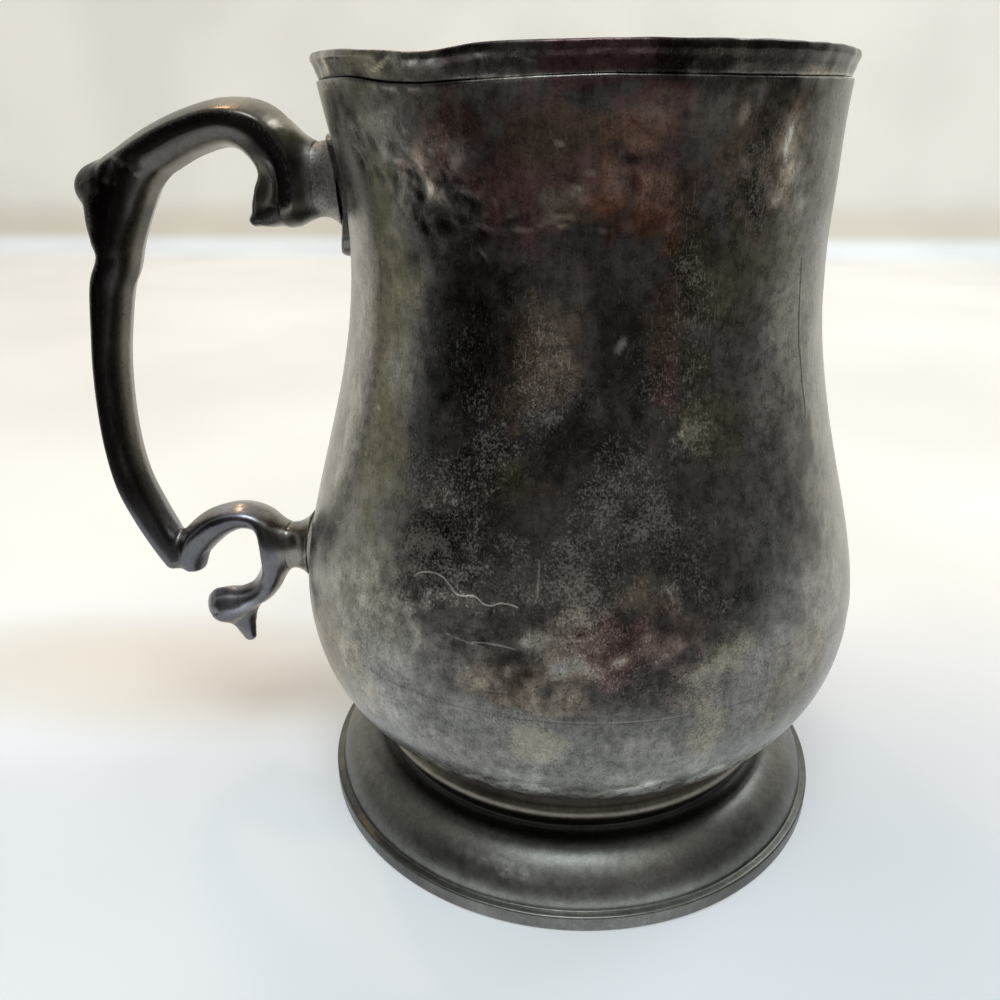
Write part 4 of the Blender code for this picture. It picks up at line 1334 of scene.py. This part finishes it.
def paint_foot(piece):
    """Grey castings, darker in the hollow between the bead and the ovolo, with painted highlights and
    shade on the bead, the ovolo and the sides.
    """
    points = mesh_points(piece)
    azimuth, height = on_wall(points)
    radius = np.hypot(points[:, 0] - axis_x, points[:, 1])
    flanks = smoothstep(np.abs(azimuth - 2), 16, 38)
    low = 1 - smoothstep(height, 6.5, 8.5)
    plinth = 1 - smoothstep(height, plinth_tall - 0.4, plinth_tall)
    stops = 0.18 * soft_noise(azimuth, height, 41, 11.0) + 0.08 * soft_noise(azimuth, height, 42, 3.0)
    # Darker in the hollow between the bead and the ovolo
    stops = stops - 2.2 * hump(height, 11.4, 1.3) * hump(radius, 36.4, 1.8)
    # Painted shade on the underside of the bead
    stops = stops - 3.2 * hump(height, 13.3, 1.0) - 0.9 * hump(height, 14.7, 0.5)
    # Painted highlight on the front of the ovolo's upper part
    stops = stops + 0.8 * hump(height, 8.6, 1.5) * (1 - flanks)
    # Painted light low on the front of the foot and painted shade on its sides; the plinth is darker
    stops = stops + low * (0.55 - 0.9 * flanks) - 0.35 * flanks - 0.5 * plinth
    tone = np.array((0.200, 0.200, 0.182)) * (2.0**stops)[:, None]
    # Painted warm highlight over the bead
    tone = blend(tone, 0.6 * hump(height, 15.6, 2.0), (0.24, 0.205, 0.155))
    ragged = 0.4 * soft_noise(azimuth, height, 44, 1.2)
    scuff = oval(azimuth, height, (-12, 7.4, 5.5, 1.0, -4), ragged)
    tone = tone * (2.0 ** (0.6 * scuff))[:, None]
    fleck = 0.3 * soft_noise(azimuth, height, 43, 6.0) + 1.2 * scuff - 0.4
    keep_paint(piece, tone, fleck, 0 * height)


def paint_handle(piece):
    """Worn olive crown, dark flanks and grey inner bevel, each partly painted reflection, more painted
    highlights and shade, and a speckled arris.
    """
    points = mesh_points(piece)
    height = points[:, 2]
    side = np.abs(points[:, 1])
    out_from_neck = axis_x - points[:, 0] - top_reach
    out_from_low_neck = axis_x - points[:, 0] - low_reach
    over_strut = height - upper_strut_height
    over_low_strut = height - lower_strut_height
    upper = height > mid_handle
    low = 1 - smoothstep(height, 44, 60)
    normals = np.empty(len(points) * 3, np.float32)
    piece.data.vertex_normals.foreach_get("vector", normals)
    downward = -normals.reshape(-1, 3)[:, 2]
    number, out = limb_share(points)
    on_arch, on_knob, on_grip, on_leaf = (number == i for i in range(4))
    at_end = on_knob | on_leaf
    drift = 0.10 * soft_noise(points[:, 0], height, 21, 7.0)
    crown = smoothstep(out + drift, 0.42, 0.72)
    crown = np.where(on_knob, smoothstep(out + drift, 0.66, 0.88), crown)
    inner = smoothstep(-out + drift, 0.02, 0.34)
    inner = np.where(on_grip, smoothstep(-out + drift, 0.30, 0.65), inner) * ~at_end
    arris = hump(out + drift, 0.42, 0.13) * (side > 2.5) * (1 - low)
    far_arch = smoothstep(out_from_neck, 9, 21) * on_arch
    knob_tip = smoothstep(out_from_neck, 34.2, 36.0) * smoothstep(over_strut, -8.5, -6.5)
    # Painted highlights on the ball at the lower scroll's end and along the scroll's crest
    bulb_highlight = hump(out_from_low_neck, 11, 3.2) * hump(over_low_strut, -11.6, 1.7)
    low_crest_highlight = hump(out_from_low_neck, 8.5, 4) * hump(over_low_strut, 7.6, 1.1) * ~upper
    root = (1 - smoothstep(out_from_neck, 6.5, 9)) * (1 - smoothstep(out, 0.3, 0.7))
    root = root * upper * smoothstep(side, 1.5, 3.0)
    neck = upper * (1 - smoothstep(out_from_neck + 0.8 * drift, -2.0, 1.8))
    facet = ((out_from_neck - 7.4) / 2.1) ** 2 + ((over_strut + 0.6) / 4.0) ** 2
    # Downward faces near the upper neck, which get painted shade
    below = upper * smoothstep(downward, 0.25, 0.6) * smoothstep(-over_strut, 2.5, 5)
    below = below * smoothstep(out_from_neck, -3, 0)
    # The flanks' near black is dark patina deepened as painted dark reflection. In the list, the grey
    # inner bevel is partly painted reflection of the pale floor, and the light olive crown is worn
    # metal with painted reflection of the bright backdrop
    tone = np.zeros((len(points), 3)) + (0.052, 0.046, 0.044)
    for share, colour in (
        (1.0 * (on_grip | at_end), (0.024, 0.020, 0.020)),
        (inner, (0.120, 0.110, 0.098)),
        (crown * ~on_grip, (0.30, 0.275, 0.225)),
        # Painted shade over the crown at the arch's far end, near the knob
        (0.9 * crown * far_arch, (0.045, 0.042, 0.038)),
        (crown * on_grip, (0.10, 0.095, 0.088)),
        (crown * on_leaf, (0.07, 0.066, 0.048)),
        (0.9 * low * (1 - 0.5 * crown), (0.150, 0.150, 0.160)),
        (0.9 * bulb_highlight, (0.62, 0.63, 0.72)),
        (0.8 * low_crest_highlight, (0.46, 0.46, 0.53)),
        (knob_tip, (0.075, 0.072, 0.064)),
        (0.8 * root, (0.024, 0.022, 0.026)),
        (neck, (0.33, 0.32, 0.30)),
        # Painted light on the toe's scooped facet
        (0.9 * np.exp(-(facet**2)), (0.26, 0.25, 0.21)),
        # Painted shade on the undersides near the upper neck
        (0.85 * below, (0.03, 0.03, 0.03)),
    ):
        tone = blend(tone, share, colour)
    tone = tone * (2.0 ** (0.25 * soft_noise(points[:, 0], height, 22, 5.0)))[:, None]
    fleck = 0.9 * arris + 0.5 * knob_tip + 1.2 * neck - 0.3
    keep_paint(piece, tone, fleck, 0.6 * knob_tip + 0.8 * neck)


def paint_pad(piece, tone):
    points = mesh_points(piece)
    stops = 0.3 * soft_noise(points[:, 1], points[:, 2], 51, 3.0)
    keep_paint(piece, np.array(tone) * (2.0**stops)[:, None], 0 * stops + 0.6, 0 * stops)


wall_metal = pewter("worn_wall_pewter", 0.28, 1.0, 0.04, scratches=True)
handle_metal = pewter("worn_cast_pewter", 0.28, 0.35, 0.24)
foot_metal = pewter("worn_foot_pewter", 0.36, 0.5, 0.1)
body_pieces = [
    (lip_band(), "lip_band", "lip_pewter"),
    (upper_body(), "upper_body", "body_pewter"),
    (lower_body(), "lower_body", "body_pewter"),
    (bottom_disc(), "bottom_disc", "body_pewter"),
    (foot_ring(), "foot_ring", "foot_pewter"),
]
for piece, node, slot in body_pieces:
    (paint_foot if node == "foot_ring" else paint_wall)(piece)
    dress(piece, foot_metal if node == "foot_ring" else wall_metal, node)
for piece in handle_pieces():
    paint_handle(piece)
    dress(piece, handle_metal, piece.name.replace("pewter_", ""))
# The lower pad's pale grey is painted light over its side, which faces forward and would show a dark
# reflection
for piece, tone in ((upper_tongue(), (0.12, 0.117, 0.108)), (lower_pad(), (0.33, 0.32, 0.29))):
    paint_pad(piece, tone)
    dress(piece, handle_metal, piece.name.replace("pewter_", ""))


# Stage, light and camera

shown_glow = 0.37  # how far the cloth's own colour is lit for the camera
mirrored_glow = 0.5  # and in the metal's reflections


def glowing(name, radiance):
    """A material with no colour of its own that gives off this much light."""
    w = Wiring(name)
    w.shade(
        Base_Color=(0, 0, 0, 1), Roughness=1.0, Specular_IOR_Level=0.0,
        Emission_Color=(*radiance, 1), Emission_Strength=1.0,
    )
    return w.material


def cloth():
    """Pale cloth: cooler near the camera, warm beyond, with a beige band low on the backdrop, painted
    shade near the camera at the right, and a painted warm shadow left of the mug.
    """
    w = Wiring("pale_cloth")
    folds = w.noise(160.0, 2, 0.5)
    away = w.separate(w.places, "Y")
    upward = w.separate(w.places, "Z")
    floor = w.mix(w.ramp(away, -0.05, 0.09), (0.81, 0.85, 0.89, 1), (0.90, 0.87, 0.82, 1))
    floor = w.mix(w.ramp(away, 0.60, 0.645), floor, (0.86, 0.90, 0.93, 1))
    wall_tint = w.mix(w.ramp(upward, 0.018, 0.05), (0.67, 0.63, 0.55, 1), (0.80, 0.78, 0.735, 1))
    # Painted shade on the floor near the camera, darkest at the right
    near = w.ramp(away, -0.03, 0.07, 1.0, 0.0)
    near_right_shade = w.ramp(w.separate(w.places, "X"), -0.08, 0.08, 0.02, -0.19)
    near_right_shade = w.sum("MULTIPLY_ADD", near, near_right_shade, 1.0)
    # A painted warm shadow on the floor left of the mug, beside the handle
    beside = w.sum("MULTIPLY_ADD", w.separate(w.places, "X"), 18.0, 1.35)
    behind = w.sum("MULTIPLY_ADD", away, 50.0, -0.95)
    spread = w.sum("MULTIPLY_ADD", beside, beside, w.sum("MULTIPLY", behind, behind))
    warm = w.ramp(spread, 0.0, 2.2, 0.8, 0.0)
    floor = w.mix(warm, floor, (0.75, 0.68, 0.59, 1))
    floor = w.scaled(floor, near_right_shade)
    tint = w.mix(w.ramp(upward, 0.002, 0.014), floor, wall_tint)
    tint = w.scaled(tint, w.ramp(folds, 0.3, 0.7, 0.93, 1.05))
    rays = w.node("ShaderNodeLightPath").outputs
    glow = w.sum("MULTIPLY", rays["Is Camera Ray"], shown_glow)
    glow = w.sum("MULTIPLY_ADD", rays["Is Glossy Ray"], mirrored_glow, glow)
    w.shade(
        Base_Color=tint, Roughness=1.0, Specular_IOR_Level=0.0,
        Emission_Color=tint, Emission_Strength=glow,
    )
    return w.material


def sweep():
    """A pale floor that turns up into a backdrop behind the mug."""
    back, bend, top, side = 0.70, 0.05, 1.1, 1.9
    line = [(-2.0, 0.0), (-1.0, 0.0), (-0.2, 0.0), (0.2, 0.0), (back - bend, 0.0)]
    for turn in np.radians(np.linspace(-90, 0, 9))[1:]:
        line.append((back - bend + bend * math.cos(turn), bend + bend * math.sin(turn)))
    line.append((back, top))
    points = [(across, y, z) for y, z in line for across in (-side, side)]
    faces = [(2 * i, 2 * i + 1, 2 * i + 3, 2 * i + 2) for i in range(len(line) - 1)]
    floor = mesh_object("floor_sweep", np.array(points), faces)
    floor.data.materials.append(cloth())


def flag(name, corners, radiance):
    """A card that only shows in reflections."""
    card = mesh_object(name, np.array(corners), [(0, 1, 2, 3)])
    card.data.materials.append(glowing(name, radiance))
    card.visible_camera = False
    card.visible_diffuse = False
    card.visible_shadow = False


def lying_flag(name, across, along, height, radiance):
    """A level flag between two places across the camera's view, and two along it."""
    corners = [(across[i], along[j], height) for i, j in ((0, 0), (1, 0), (1, 1), (0, 1))]
    flag(name, corners, radiance)


def standing_flag(name, turns, distance, low, high, radiance):
    """An upright flag between two azimuths, this far from the mug."""
    ends = [(distance * math.sin(turn), -distance * math.cos(turn)) for turn in np.radians(turns)]
    corners = [(*ends[0], low), (*ends[1], low), (*ends[1], high), (*ends[0], high)]
    flag(name, corners, radiance)


def soft_lamp(name, place, target, wide, tall, watts, colour):
    light = bpy.data.lights.new(name, "AREA")
    light.shape = "RECTANGLE"
    light.size = wide
    light.size_y = tall
    light.energy = watts
    light.color = colour
    lamp = placed(name, light)
    lamp.location = place
    lamp.rotation_euler = (Vector(target) - Vector(place)).to_track_quat("-Z", "Y").to_euler()


def camera():
    """The photo's view: turned sideways by its yaw, tipped down, and rolled about its own axis."""
    data = bpy.data.cameras.new("camera")
    data.lens = camera_lens
    data.sensor_width = 36.0
    data.clip_start = 0.01
    data.clip_end = 20.0
    down, yaw, roll = (math.radians(angle) for angle in (camera_down, camera_yaw, camera_roll))
    turn = Matrix.Rotation(-yaw, 4, "Z") @ Matrix.Rotation(math.pi / 2 - down, 4, "X")
    place = Vector((axis_x, 0, 0)) + Vector(camera_place)
    made = placed("camera", data)
    made.matrix_world = Matrix.Translation(place * millimetre) @ turn @ Matrix.Rotation(roll, 4, "Z")
    bpy.context.scene.camera = made


sweep()
lying_flag("dark_table", (-1.2, 1.0), (-0.115, -0.50), 0.002, (0.11, 0.10, 0.095))
lying_flag("table_right", (0.75, 1.9), (-0.60, 0.60), 0.003, (0.13, 0.12, 0.115))
lying_flag("table_left", (-0.45, -0.15), (-0.115, 0.02), 0.003, (0.40, 0.39, 0.34))
standing_flag("room_right", (20, 62), 0.62, 0.0, 0.55, (0.12, 0.11, 0.105))
standing_flag("room_middle", (-24, 20), 0.58, 0.0, 0.55, (0.13, 0.12, 0.115))
standing_flag("dark_coat", (-66, -24), 0.56, 0.003, 0.6, (0.035, 0.03, 0.028))
standing_flag("room_side", (62, 100), 0.7, 0.0, 0.55, (0.16, 0.155, 0.145))
soft_lamp("cool_window", (0.02, -0.25, 0.84), (0.0, 0.0, 0.05), 0.28, 0.28, 1.9, (0.82, 0.93, 1.0))
soft_lamp("warm_lamp", (-0.32, 0.4, 0.8), (0.0, 0.0, 0.0), 0.06, 0.06, 0.5, (1.0, 0.62, 0.34))
soft_lamp("side_lamp", (0.55, 0.35, 0.75), (0.0, 0.0, 0.0), 0.3, 0.3, 1.8, (0.9, 0.95, 1.0))
world = bpy.data.worlds.new("studio")
world.use_nodes = True
background = world.node_tree.nodes["Background"]
background.inputs["Color"].default_value = (0.82, 0.81, 0.76, 1)
background.inputs["Strength"].default_value = 0.5
bpy.context.scene.world = world
bpy.context.scene.view_settings.view_transform = "Standard"
camera()
